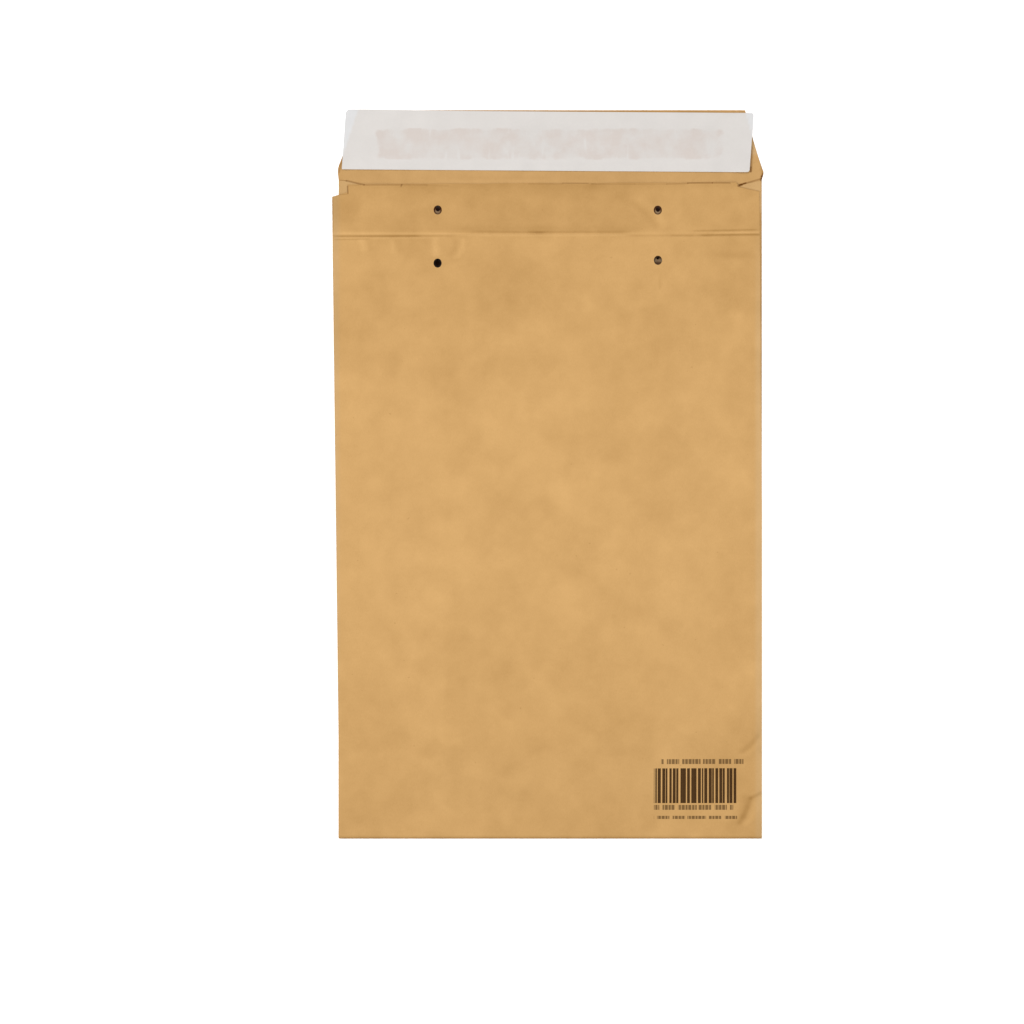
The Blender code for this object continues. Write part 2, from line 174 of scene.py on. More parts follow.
class StudioSettings(bpy.types.PropertyGroup):
    """Camera and lights."""

    camera_height: length("Camera height", 2.5, "Camera above the envelope")
    field: length("Field", 0.5806, "Width that the picture shows")
    aim_x: length("Aim across", -0.0204, "Middle of the picture across")
    aim_y: length("Aim along", -0.0213, "Middle of the picture along")
    left_light: watts("Left light", 19.0, "Power of the light at the left side")
    right_light: watts("Right light", 13.5, "Power of the light at the right side")
    low_light: watts("Low light", 10.0, "Power of the light at the bottom fold")
    high_light: watts("High light", 13.0, "Power of the light beyond the flap")
    light_distance: length("Light distance", 1.7, "Each light from the envelope")
    light_elevation: angle("Light elevation", 42, "Each light above the floor, seen from the envelope")
    light_size: length("Light size", 0.9, "Side of each square light")
    ambient: share("Ambient", 0.17, "Strength of the surroundings")


Hole = namedtuple("Hole", "u v radius")
Mark = namedtuple("Mark", "start end width rise bow", defaults=(0.0,))


def marks(*rows):
    """Marks from rows in millimetres: u and v of each end, half width, rise, and bow if it has one."""
    return tuple(Mark(row[:2], row[2:4], *row[4:]) for row in rows)


# Folds and dents pressed into the back panel
CREASE_MARKS = marks(
    (-4.0, 341.3, 56.0, 341.2, 0.50, -0.26),
    (-3.0, 339.5, 10.0, 339.4, 0.40, -0.12),
    (50.0, 341.9, 72.0, 342.1, 0.60, 0.16),
    (52.0, 343.4, 70.0, 343.1, 0.60, -0.16),
    (64.0, 342.9, 118.0, 343.1, 0.65, -0.34),
    (66.0, 341.9, 170.0, 341.9, 0.80, 0.12),
    (108.0, 343.1, 162.0, 342.8, 0.65, -0.36),
    (186.0, 342.2, 240.0, 342.3, 0.50, -0.30),
    (160.0, 342.2, 192.0, 342.2, 0.60, -0.10),
    (196.0, 344.3, 240.0, 344.6, 0.55, -0.28),
)
CREASE_STREAKS = marks(
    (14.0, 340.5, 15.2, 333.0, 1.4, 0.18),
    (29.0, 340.5, 30.6, 332.0, 1.4, 0.20),
    (55.0, 340.5, 56.0, 329.0, 1.5, 0.24),
    (71.0, 340.5, 66.0, 328.0, 1.6, 0.20, 1.8),
    (100.0, 326.0, 112.0, 322.0, 5.0, 0.12),
    (126.0, 341.0, 124.0, 332.0, 1.8, 0.10),
    (128.0, 330.0, 122.0, 317.0, 2.4, 0.12),
    (214.0, 341.0, 213.0, 333.0, 1.4, 0.12),
    (152.0, 326.0, 158.0, 312.0, 3.2, 0.14),
)
BAND_DENTS = marks(
    (40.0, 351.0, 54.0, 356.0, 4.0, -0.20),
    (73.0, 355.0, 80.0, 366.0, 5.0, -0.14),
    (101.0, 346.0, 103.0, 364.0, 6.0, -0.12),
    (143.0, 366.0, 166.0, 360.0, 5.0, -0.14),
    (163.0, 362.0, 181.0, 344.5, 2.0, -0.30, 2.2),
    (168.0, 365.0, 186.0, 346.0, 2.4, 0.20, 2.2),
    (206.0, 331.0, 238.0, 329.5, 2.6, -0.24),
    (206.0, 326.0, 238.0, 324.0, 3.4, 0.14),
    (24.0, 352.0, 20.0, 364.0, 3.6, 0.14),
    (118.0, 350.0, 130.0, 366.0, 5.0, 0.18),
    (200.0, 352.0, 222.0, 364.0, 5.0, 0.12),
)
BODY_DENTS = marks(
    (218.0, 305.0, 230.0, 297.0, 2.4, -0.16),
    (224.0, 287.0, 232.0, 290.0, 1.6, 0.10),
    (208.0, 236.0, 212.0, 228.0, 1.4, 0.09),
    (196.0, 214.0, 205.0, 222.0, 2.0, 0.10),
    (214.0, 178.0, 222.0, 190.0, 2.2, -0.10),
    (186.0, 165.0, 188.0, 152.0, 1.5, 0.10),
    (205.0, 150.0, 216.0, 140.0, 2.2, 0.12),
    (226.0, 128.0, 230.0, 108.0, 2.0, -0.12),
    (60.0, 262.0, 82.0, 236.0, 3.0, 0.14, 3.0),
    (30.0, 180.0, 44.0, 150.0, 3.0, -0.14, -3.0),
    (120.0, 130.0, 150.0, 118.0, 3.4, 0.14, 3.0),
    (88.0, 60.0, 64.0, 48.0, 3.0, -0.14, 2.0),
)
CORNER_WRINKLES = marks(
    (239.0, 59.4, 227.0, 47.0, 1.3, -0.12, 1.2),
    (239.0, 56.4, 229.4, 45.0, 1.7, 0.16, 1.2),
    (239.4, 27.2, 225.5, 7.0, 1.4, -0.12, 3.0),
    (240.0, 24.4, 229.5, 6.0, 1.9, 0.20, 2.4),
)
PRESSED_MARKS = CREASE_MARKS + CREASE_STREAKS + BAND_DENTS + BODY_DENTS + CORNER_WRINKLES
# Painted shade along folds, wrinkles and dents, partly bruised paper. The rise is the strength, and below
# 0 the paper is painted lighter, a highlight on the lit side of a fold
STAINS = marks(
    (-4.0, 341.5, 47.0, 341.7, 0.60, 0.62),
    (-4.0, 343.2, 76.0, 343.0, 0.70, -0.26),
    (-4.0, 340.5, 60.0, 340.6, 0.50, -0.14),
    (-3.0, 339.6, 18.0, 340.0, 0.45, 0.34),
    (42.0, 341.6, 66.0, 341.8, 0.60, 0.20),
    (64.0, 345.6, 168.0, 345.6, 2.40, 0.14),
    (74.0, 344.2, 118.0, 343.7, 0.75, 0.32),
    (108.0, 343.9, 166.0, 344.0, 0.75, 0.32),
    (66.0, 342.2, 164.0, 342.1, 0.80, -0.16),
    (160.0, 343.2, 186.0, 343.2, 0.70, -0.08),
    (164.0, 341.8, 204.0, 341.9, 0.60, 0.24),
    (188.0, 341.9, 212.0, 341.9, 0.60, 0.28),
    (204.0, 342.1, 242.0, 342.5, 0.66, 0.66),
    (200.0, 344.4, 238.0, 345.3, 0.55, 0.42),
    (212.0, 343.3, 240.0, 343.7, 0.50, -0.26),
    (12.6, 340.0, 14.6, 333.0, 1.8, -0.22),
    (17.0, 340.0, 18.6, 333.0, 1.6, 0.12),
    (29.6, 340.0, 31.6, 332.0, 1.6, -0.22),
    (34.0, 340.0, 35.0, 333.0, 1.8, 0.10),
    (54.6, 341.0, 55.6, 329.6, 2.4, -0.24),
    (70.6, 340.5, 66.0, 328.6, 1.8, -0.24, 1.8),
    (66.0, 340.0, 62.0, 330.0, 2.0, 0.14, 1.8),
    (113.0, 324.0, 125.0, 312.0, 4.0, -0.12),
    (188.0, 322.0, 198.0, 318.0, 4.6, -0.12),
    (140.0, 309.0, 142.0, 296.0, 3.0, -0.12),
    (238.6, 59.6, 227.0, 48.8, 1.8, 0.28, 1.2),
    (240.0, 58.0, 228.4, 46.4, 1.8, -0.09, 1.2),
    (240.0, 26.6, 232.6, 22.8, 1.0, 0.46, 0.4),
    (233.6, 23.8, 226.2, 7.6, 1.6, 0.36, 1.0),
    (232.0, 25.0, 228.4, 11.0, 3.0, 0.22),
    (235.6, 21.0, 229.0, 6.6, 2.4, -0.12, 1.4),
    (-3.6, 366.0, -3.8, 343.0, 0.50, 0.34),
    (30.0, 368.2, 150.0, 368.2, 4.5, 0.18),
    (64.0, 373.4, 122.0, 373.4, 2.6, 0.13),
    (74.0, 352.0, 125.0, 356.0, 8.0, 0.12),
    (40.0, 351.0, 54.0, 356.0, 4.0, 0.10),
    (73.0, 357.0, 84.0, 371.0, 5.0, 0.13),
    (139.0, 371.0, 166.0, 364.0, 5.0, 0.12),
    (163.0, 362.0, 181.0, 344.5, 1.8, 0.15, 2.2),
    (168.0, 364.0, 186.0, 346.5, 2.0, -0.13, 2.2),
    (206.0, 331.4, 238.0, 329.6, 2.0, 0.12),
    (214.0, 305.0, 221.0, 299.0, 1.0, 0.14),
    (222.0, 300.0, 229.0, 294.0, 2.0, -0.12),
    (182.0, 318.0, 182.4, 311.0, 0.8, 0.22),
    (196.0, 364.0, 197.0, 353.0, 1.4, 0.10),
)
# Painted shadow lines under the cut edges at the mouth, by the liner's right end and along the flap's
# edges, with their strength as rise
EDGE_LINES = marks(
    (5.1, 369.9, 5.3, 365.9, 0.60, 0.42),
    (5.3, 370.1, 12.5, 370.6, 0.50, 0.10),
    (-1.0, 365.0, 5.2, 365.5, 0.50, 0.16),
    (0.4, 373.6, 4.6, 373.0, 0.50, 0.20),
    (4.4, 373.1, 14.4, 370.8, 0.85, 0.38),
    (14.4, 370.7, 36.0, 370.8, 0.75, 0.25),
    (35.6, 370.7, 35.4, 369.7, 0.55, 0.35),
    (36.0, 370.9, 50.0, 370.7, 0.80, 0.17),
    (50.0, 370.6, 62.0, 370.2, 0.90, 0.07),
    (108.0, 371.3, 127.0, 371.3, 0.70, 0.11),
    (127.0, 371.8, 141.5, 371.7, 0.55, 0.26),
    (143.5, 371.2, 168.0, 371.2, 0.70, 0.16),
    (168.0, 371.2, 186.0, 371.2, 0.70, 0.10),
    (186.0, 371.2, 198.0, 371.5, 0.70, 0.22),
    (198.0, 371.8, 212.0, 371.9, 0.62, 0.46),
    (212.0, 371.9, 222.0, 371.8, 0.62, 0.38),
    (226.8, 370.2, 228.6, 370.8, 1.05, 0.60),
    (227.6, 370.8, 230.8, 371.7, 0.85, 0.50),
    (229.6, 371.4, 240.2, 374.4, 0.70, 0.40),
    (240.6, 379.1, 234.8, 397.2, 0.60, 0.26),
    (0.2, 378.0, 1.5, 385.4, 0.90, 0.34),
    (227.6, 369.6, 239.4, 366.9, 0.60, 0.16),
    (240.9, 377.6, 240.2, 375.6, 0.90, 0.60),
    (240.1, 375.6, 239.6, 373.4, 0.90, 0.60),
    (234.3, 392.0, 233.9, 378.6, 1.00, 0.32),
    (233.8, 380.6, 233.7, 378.4, 0.90, 0.40),
)

# Places of the plain print in the frame's x and y: left, right, low and high
BARS_AREA = (0.0600, 0.1070, -0.1863, -0.1665)
# Rows of blocks above and below the bars, each with the phase of its waves
BLOCK_ROWS = (
    ((0.0640, 0.1108, -0.1641, -0.1613), 0.0),
    ((0.0600, 0.1050, -0.1901, -0.1873), 1.7),
    ((0.0600, 0.1072, -0.1953, -0.1935), 3.9),
)
PRINTED_ABOVE = 1.2 * MM  # so that the back panel alone is printed
EDGES_ABOVE = 0.15 * MM  # so that the front panel has no shadow lines
FLECK_LEVEL = 0.79

# Distance between the lines of the grids, in millimetres, from each place on
COLUMNS = ((0.0, 1.2), (14.0, 2.1), (223.0, 0.9))
FRONT_ROWS = ((0.0, 12.0),)
INNER_LINES = ((0.0, 5.0),)
BACK_ROWS = ((0.0, 0.9), (62.0, 4.0), (300.0, 1.8), (334.0, 0.4), (350.0, 1.0))
FOLD_STEPS = 8
TAB_CELLS = 8
FLAP_LINES = 24
# Of the clasp holes, the left ones come first, and of each two the lower one.
# How far each lies off its place along the sheet, in millimetres
HOLE_SLIPS = (-1.0, -0.3, 0.6, -0.4)
# The lining's holes against those of the paper: across and along in millimetres, share of the radius
LINING_HOLES = ((0.0, 0.0, 1.0), (0.1, 0.75, 0.60), (0.0, 1.3, 0.30), (0.1, 0.45, 0.55))
# Painted shade on the lining round each hole: by a bar instead of a ring, then least and most
LINING_SHADES = ((False, 0.93, 0.97), (False, 0.68, 0.97), (True, 0.70, 0.88), (False, 0.62, 0.95))
# The grid has an even square block round each hole, and rings of cells from the block to the hole
HOLE_BLOCK = 4 * MM
BLOCK_LINES = np.linspace(-HOLE_BLOCK, HOLE_BLOCK, 9)
BLOCK_MARGIN = 0.35 * MM  # kept free of other lines
HOLE_RINGS = np.array((0, 0.35, 0.62, 0.82, 0.94, 1))
HOLE_STRETCH = 1.12  # height of a hole against its width

# Cells of the lattice of random values, and how many of them lie before the plan's corner
LATTICE = 97
LATTICE_MARGIN = 30

LUMP_ROOM = 0.5 * MM  # left for the padding's lumps under the full height
LAYER_GAP = 0.04 * MM  # between the sheet and what lies inside
LINING_TISSUE = 0.05 * MM  # thickness of each ply
CLOSURE_GAP = 0.02 * MM  # under the adhesive and the liner
# Radii of the liner's corners as shares of its own: both at the right, top left, bottom left
LINER_CORNERS = (1.0, 1.7, 0.2)
SHARP_ANGLE = math.radians(40)


def smooth(x):
    """Smooth step: 0 below 0, 1 above 1, 3x^2 - 2x^3 between."""
    x = np.clip(x, 0, 1)
    return x * x * (3 - 2 * x)


def eased(x, start, end):
    """Smooth step of x, 0 at the start and 1 at the end. The end may be the lower one."""
    return smooth((x - start) / (end - start))


def ruled(*stops):
    """Sorted grid lines with no repeats."""
    return np.unique(np.round(np.concatenate([np.atleast_1d(s) for s in stops]), 8))


def lattice_cells(u, v, size):
    """Places measured in cells of a square lattice, and the number of the cell that each is in."""
    a, b = np.asarray(u) / size + LATTICE_MARGIN, np.asarray(v) / size + LATTICE_MARGIN
    return a, b, np.floor(a).astype(int), np.floor(b).astype(int)


def cloud(u, v, size, seed):
    """Value noise from -1 to 1: random heights on a square lattice, joined by smooth steps."""
    lattice = np.random.default_rng(seed).uniform(-1, 1, (LATTICE, LATTICE))
    a, b, i, j = lattice_cells(u, v, size)
    f, g = smooth(a - i), smooth(b - j)
    corners = [[lattice[(i + k) % LATTICE, (j + m) % LATTICE] for m in (0, 1)] for k in (0, 1)]
    near, far = [low * (1 - g) + high * g for low, high in corners]
    return near * (1 - f) + far * f


def facets(u, v, size, seed):
    """Pressed facets from -1 to 1: random heights of random sites, blended by exp(-12 distance^2)."""
    sites = np.random.default_rng(seed).uniform(0, 1, (LATTICE, LATTICE, 3))
    a, b, i, j = lattice_cells(u, v, size)
    total, weights = 0, 1e-9
    for k in (-1, 0, 1):
        for m in (-1, 0, 1):
            site = sites[(i + k) % LATTICE, (j + m) % LATTICE]
            away = (i + k + site[:, 0] - a) ** 2 + (j + m + site[:, 1] - b) ** 2
            weight = np.exp(-12 * away)
            total, weights = total + weight * (2 * site[:, 2] - 1), weights + weight
    return total / weights


def bell(u, v, mark):
    """A mark's profile: exp(-(distance / width)^2), bowed by a parabola, and eased over its ends."""
    fade, at_end = 0.18, 0.3
    (u0, v0), (u1, v1) = (np.array(point) * MM for point in (mark.start, mark.end))
    reach = math.hypot(u1 - u0, v1 - v0)
    along = ((u - u0) * (u1 - u0) + (v - v0) * (v1 - v0)) / reach ** 2
    across = ((v - v0) * (u1 - u0) - (u - u0) * (v1 - v0)) / reach
    across = across - 4 * mark.bow * MM * along * (1 - along)
    ease = smooth(along / fade + at_end) * smooth((1 - along) / fade + at_end)
    return np.exp(-(across / (mark.width * MM)) ** 2) * ease


def pressed(u, v, table):
    """Sum of the profiles of a table's marks, each times its rise."""
    return sum(bell(u, v, mark) * mark.rise for mark in table)


def fullness(size, u, v):
    """0 in the seams, a smooth step over each ramp of the padding, and 1 over full padding."""
    start, end = PAD_LOW[1] - SHEET_LOW[1], PAD_HIGH[1] - SHEET_LOW[1]
    inward = np.minimum(u - size.seam, size.front_width - size.seam - u)
    across = smooth(inward / size.side_ramp)
    return across * smooth((v - start) / size.bottom_ramp) * smooth((end - v) / size.mouth_ramp)


def tab_top(size, v):
    """Height of a tab: even, then down by a smooth step towards the mouth."""
    settled = smooth((v - size.mouth - size.tab_rise) / size.mouth_ramp + 1)
    return size.tab_height + (size.tab_end_height - size.tab_height) * settled


def back_top(size, u, v):
    """Height of the back panel: its flat seams, the padding's rise, lumps and what is pressed into it."""
    inward = np.minimum(u - size.tab_width, size.front_width - size.tab_width - u)
    free_edge = eased(inward, 0, 22 * MM) * eased(v, size.crease, size.mouth)
    seam = tab_top(size, v) + size.glue_height + size.paper
    flat = seam - (seam - size.mouth_height) * free_edge
    full = fullness(size, u, v)
    lumps = full * (0.20 * cloud(u, v, 34 * MM, 3) + 0.15 * cloud(u, v, 15 * MM, 4))
    ripple = 0.07 * cloud(u, v, 7 * MM, 5) + 0.03 * cloud(u, v, 3.5 * MM, 6)
    uneven = (lumps + ripple + pressed(u, v, PRESSED_MARKS)) * MM
    highest = size.full_height - LUMP_ROOM
    return flat + (highest - flat) * full + uneven * eased(v, 2 * MM, 8 * MM)


def layer_height(size, u, v, part):
    """Height inside the envelope: part 0 is on the front panel, and 1 under the back panel or a tab."""
    low = size.paper + LAYER_GAP
    inward = np.minimum(u, size.front_width - u)
    over_tab = 1 - eased(inward, size.tab_width, size.tab_width + 5 * MM)
    high = back_top(size, u, v) - size.paper - LAYER_GAP - (size.glue_height + size.paper) * over_tab
    return low + part * (high - low)


def flap_inside(size, u, v):
    """Height of the flap's inside: a parabola up to its cut end, with a slow wave."""
    start = size.mouth + size.tab_rise
    out = np.clip((v - start) / (size.flap_end - start), 0, None)
    wave = 0.22 * MM * out * (1 + cloud(u, v, 45 * MM, 11))
    return size.paper + size.flap_lift * out ** 2 + wave


def hole_centres(size):
    """The middles of the grid's blocks, where the holes would be with no slip."""
    middle = size.front_width / 2 + size.holes_off_centre
    return [(middle + i * size.hole_spacing / 2, size.crease + j * size.hole_from_crease)
            for i in (-1, 1) for j in (-1, 1)]


def hole_places(size, drift=0.0, seed=0):
    """The four clasp holes, each off its place. Drift moves and resizes those of inner layers."""
    shifts = np.random.default_rng(seed).uniform(-1, 1, (len(HOLE_SLIPS), 3)) * drift
    return [Hole(u + du, v + slip * MM + dv, size.hole_radius + 0.3 * wider)
            for (u, v), slip, (du, dv, wider) in zip(hole_centres(size), HOLE_SLIPS, shifts)]


def lining_holes(size):
    """The holes in the lining: smaller than the paper's, and off their middles."""
    return [Hole(h.u + du * MM, h.v + dv * MM, h.radius * part)
            for h, (du, dv, part) in zip(hole_places(size), LINING_HOLES)]


def grid_lines(size, axis, start, end, steps, *others):
    """Lines of a sheet's grid across (axis 0) or along (1), at the steps, with a block round each hole."""
    centres = sorted({centre[axis] for centre in hole_centres(size)})
    edges = [max(place * MM, start) for place, _ in steps] + [end]
    runs = [np.linspace(a, b, max(2, round((b - a) / (step * MM)) + 1))
            for a, b, (_, step) in zip(edges[:-1], edges[1:], steps) if b > a]
    lines = ruled(*runs)
    for centre in centres:
        lines = lines[np.abs(lines - centre) > HOLE_BLOCK + BLOCK_MARGIN]
    return ruled(lines, start, end, *[centre + BLOCK_LINES for centre in centres], *others)


def grid_faces(columns, rows):
    """Quads of a grid whose points run along its rows first."""
    i, j = np.meshgrid(np.arange(columns - 1), np.arange(rows - 1), indexing="ij")
    a = (i * rows + j).ravel()
    return np.stack([a, a + rows, a + rows + 1, a + 1], axis=1)


def ring(hole, centre):
    """Plan of a block from its square edge to its hole: rings that go evenly from one to the other."""
    side = BLOCK_LINES[:-1]
    edge = np.full_like(side, HOLE_BLOCK)
    square = np.concatenate([np.stack([side, -edge], 1), np.stack([edge, side], 1),
                             np.stack([-side, edge], 1), np.stack([-edge, -side], 1)])
    outward = square / np.linalg.norm(square, axis=1)[:, None]
    circle = np.array([hole.u, hole.v]) - centre + hole.radius * outward * (1.0, HOLE_STRETCH)
    part = HOLE_RINGS[:, None, None]
    points = (1 - part) * square + part * circle + np.array(centre)
    count = len(square)
    k, m = np.meshgrid(np.arange(len(HOLE_RINGS) - 1), np.arange(count), indexing="ij")
    a, b = (k * count + m).ravel(), (k * count + (m + 1) % count).ravel()
    return points.reshape(-1, 2), np.stack([a, b, b + count, a + count], axis=1)


def plan_sheet(columns, rows, holes=(), centres=(), keep=None):
    """Plan of a sheet over grid lines, facing up, with its holes. Keep says which cells are there."""
    u, v = np.meshgrid(columns, rows, indexing="ij")
    points = np.stack([u.ravel(), v.ravel()], axis=1)
    faces = grid_faces(len(columns), len(rows))
    middle = points[faces].mean(axis=1)
    there = np.ones(len(faces), bool) if keep is None else keep(middle[:, 0], middle[:, 1])
    for centre in centres:
        there &= (np.abs(middle - np.array(centre)) > HOLE_BLOCK).any(axis=1)
    plans = [(points, faces[there])] + [ring(h, c) for h, c in zip(holes, centres)]
    return weld(plans)


def weld(patches):
    """One set of points and faces from several, with equal points joined and unused ones dropped."""
    starts = np.cumsum([0] + [len(points) for points, _ in patches[:-1]])
    points = np.concatenate([points for points, _ in patches])
    faces = np.concatenate([faces + start for (_, faces), start in zip(patches, starts)])
    keys = np.round(points * 1e7).astype(np.int64)
    _, first, joined = np.unique(keys, axis=0, return_index=True, return_inverse=True)
    faces = joined.reshape(-1)[faces]
    used, packed = np.unique(faces, return_inverse=True)
    return points[first][used], packed.reshape(faces.shape)


def normals(points, faces):
    """Unit normal of each point: the sum of its faces' cross products, made one long."""
    corner = points[faces]
    cross = np.cross(corner[:, 2] - corner[:, 0], corner[:, 3] - corner[:, 1])
    total = np.zeros_like(points)
    for k in range(4):
        np.add.at(total, faces[:, k], cross)
    return total / np.linalg.norm(total, axis=1)[:, None]


def closed(outer, inner, faces):
    """A closed shell: the outer faces, the inner ones turned round, and a wall along each open edge."""
    count = len(outer)
    start, end = faces.ravel(), np.roll(faces, -1, axis=1).ravel()
    open_edge = ~np.isin(start * count + end, end * count + start)
    a, b = start[open_edge], end[open_edge]
    wall = np.stack([b, a, a + count, b + count], axis=1)
    return np.concatenate([outer, inner]), np.concatenate([faces, faces[:, ::-1] + count, wall])


def to_frame(size, points):
    """Plan and height to the frame's own axes."""
    moved = points.copy()
    moved[:, 0] += SHEET_LOW[0] + size.overhang
    moved[:, 1] += SHEET_LOW[1]
    return moved


def to_axes(place):
    """A place of the plan in millimetres to the frame's x and y."""
    return place[0] * MM + SHEET_LOW[0] + OVERHANG, place[1] * MM + SHEET_LOW[1]


def raised(plan, height):
    """Points over a plan at heights."""
    return np.concatenate([plan, np.asarray(height)[:, None]], axis=1)


def make_piece(size, name, outer, inner, faces, finish, node, record_slot, **values):
    """A closed piece between two surfaces, which stands for its node.

    Values on the outer points, which are repeated for the inner ones, become attributes.
    """
    points, all_faces = closed(outer, inner, faces)
    mesh = bpy.data.meshes.new(name)
    mesh.from_pydata(to_frame(size, points).tolist(), [], all_faces.tolist())
    mesh.validate()
    mesh.shade_smooth()
    mesh.set_sharp_from_angle(angle=SHARP_ANGLE)
    for label, amounts in values.items():
        amounts = np.resize(amounts, len(points)).astype(np.float32)
        mesh.attributes.new(label, "FLOAT", "POINT").data.foreach_set("value", amounts)
    mesh.materials.append(finish)
    piece = bpy.data.objects.new(name, mesh)
    bpy.context.scene.collection.objects.link(piece)
    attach(piece, "root")
    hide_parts(node)
    return piece


class Signal:
    """A node's output, so that an expression on outputs and numbers adds its Math nodes."""

    def __init__(self, finish, socket):
        self.finish = finish
        self.socket = socket

    def _math(self, operation, *values, clamp=False):
        inputs = dict(enumerate(values))
        return self.finish.node("Math", {"operation": operation, "use_clamp": clamp}, inputs)

    def __add__(self, other):
        return self._math("ADD", self, other)

    def __radd__(self, other):
        return self._math("ADD", other, self)

    def __sub__(self, other):
        return self._math("SUBTRACT", self, other)

    def __rsub__(self, other):
        return self._math("SUBTRACT", other, self)

    def __mul__(self, other):
        return self._math("MULTIPLY", self, other)

    def __rmul__(self, other):
        return self._math("MULTIPLY", other, self)

    def __gt__(self, other):
        return self._math("GREATER_THAN", self, other)

    def __lt__(self, other):
        return self._math("LESS_THAN", self, other)

    def clamped(self):
        """Kept between 0 and 1."""
        return self._math("MULTIPLY", self, 1.0, clamp=True)

    def absolute(self):
        """Without its sign."""
        return self._math("ABSOLUTE", self)

    def sine(self):
        """Sine of an angle in radians."""
        return self._math("SINE", self)

    def ramp(self, low, high, first=0.0, last=1.0):
        """First at low and last at high, eased."""
        settings = {"interpolation_type": "SMOOTHSTEP", "clamp": True}
        values = {"Value": self, "From Min": low, "From Max": high, "To Min": first, "To Max": last}
        return self.finish.node("MapRange", settings, values)


class Finish:
    """A material under construction, with its Principled BSDF's constants set on the sockets."""

    def __init__(self, name, **constants):
        self.material = bpy.data.materials.new(name)
        self.material.use_nodes = True
        self.tree = self.material.node_tree
        self.shader = self.tree.nodes["Principled BSDF"]
        for socket, value in constants.items():
            self.shader.inputs[socket.replace("_", " ")].default_value = value

    def node(self, kind, settings=None, values=None, output=0):
        """Adds a node: its settings first, then its sockets' values or links. Returns one output."""
        made = self.tree.nodes.new("ShaderNode" + kind)
        for name, setting in (settings or {}).items():
            setattr(made, name, setting)
        for key, value in (values or {}).items():
            sockets = [s for s in made.inputs if s.enabled]
            socket = sockets[key] if isinstance(key, int) else next(s for s in sockets if s.name == key)
            if isinstance(value, Signal):
                self.tree.links.new(value.socket, socket)
            elif isinstance(value, (tuple, list)) and socket.type == "RGBA":
                socket.default_value = (*value[:3], 1)
            else:
                socket.default_value = value
        outputs = [s for s in made.outputs if s.enabled]
        if isinstance(output, int):
            return Signal(self, outputs[output])
        return Signal(self, next(s for s in outputs if s.name == output))

    def place(self):
        """The point's place in the object's own axes."""
        return self.node("TexCoord", output="Object")

    def axes(self, place):
        """Its three coordinates."""
        split = self.node("SeparateXYZ", None, {"Vector": place})
        return [Signal(self, socket) for socket in split.socket.node.outputs]

    def stretched(self, place, scale):
        """The place with each axis scaled."""
        return self.node("Mapping", {"vector_type": "POINT"}, {"Vector": place, "Scale": scale})

    def vector(self, operation, *values):
        """A Vector Math node on vectors and numbers."""
        return self.node("VectorMath", {"operation": operation}, dict(enumerate(values)))

    def noise(self, place, scale, detail=2.0, roughness=0.5):
        """Noise from 0 to 1, about one lump in 1 / scale metres."""
        values = {"Vector": place, "Scale": scale, "Detail": detail, "Roughness": roughness}
        return self.node("TexNoise", None, values)

    def value(self, label):
        """A value kept on the piece's points."""
        return self.node("Attribute", {"attribute_name": label}, None, "Fac")

    def mix(self, amount, first, second):
        """First colour at 0 and second at 1."""
        return self.node("Mix", {"data_type": "RGBA"}, {"Factor": amount, "A": first, "B": second})

    def multiplied(self, base, channels):
        """A colour times a number in each channel."""
        joined = self.node("CombineXYZ", None, dict(zip("XYZ", channels)))
        return self.node("Mix", {"data_type": "RGBA", "blend_type": "MULTIPLY"},
                         {"Factor": 1.0, "A": base, "B": joined})

    def scaled_colour(self, base, amount):
        """A colour times a number."""
        return self.multiplied(base, [amount] * 3)

    def tinted(self, base, change, tint):
        """A colour times 1 + change x tint in each channel, which makes it richer as it darkens."""
        return self.multiplied(base, [change * part + 1.0 for part in tint])

    def stroke(self, flat, line):
        """A line's strength on it, fading to 0 over its width. Flat is the place with no height."""
        (x0, y0), (x1, y1), width = to_axes(line.start), to_axes(line.end), line.width * MM
        run, reach = (x1 - x0, y1 - y0, 0), (x1 - x0) ** 2 + (y1 - y0) ** 2
        offset = self.vector("SUBTRACT", flat, (x0, y0, 0))
        along = self.vector("DOT_PRODUCT", offset, tuple(c / reach for c in run)).clamped()
        away = self.vector("DISTANCE", offset, self.vector("SCALE", run, along))
        return away.ramp(width * 0.25, width, line.rise, 0)

    def feed(self, socket, signal):
        """Links a signal to one of the shader's sockets."""
        self.tree.links.new(signal.socket, self.shader.inputs[socket])

    def bump(self, height, distance, strength=1.0):
        """Feeds the shader's normal from a height in units of distance."""
        values = {"Height": height, "Distance": distance, "Strength": strength}
        self.feed("Normal", self.node("Bump", None, values, "Normal"))


def paper_grain(finish, place):
    """Kraft paper's grain from 0 to 1: long fibres with the run of the sheet, and short ones across."""
    along = finish.noise(finish.stretched(place, (1.0, 0.28, 1.0)), 2600, 3.0, 0.6)
    across = finish.noise(finish.stretched(place, (0.3, 1.0, 1.0)), 3400, 2.0, 0.6)
    return along * 0.65 + across * 0.35


def flecks(finish, place, scale):
    """1 on sparse specks: the peaks of a noise above a level."""
    return finish.noise(place, scale, 1.0, 0.4).ramp(FLECK_LEVEL, FLECK_LEVEL + 0.035)


def printed_area(x, y, left, right, low, high):
    """1 inside a rectangle of the frame's x and y."""
    return (x > left) * (x < right) * (y > low) * (y < high)


def printed_bars(x, y, z):
    """1 on a block of plain bars: three sine waves across it, cut where their sum is above a level."""
    wave = (x * 3100.0).sine() + (x * 1910.0 + 0.7).sine() * 0.8 + (x * 5230.0 + 2.1).sine() * 0.6
    return printed_area(x, y, *BARS_AREA) * (z > PRINTED_ABOVE) * wave.ramp(-0.72, -0.5)


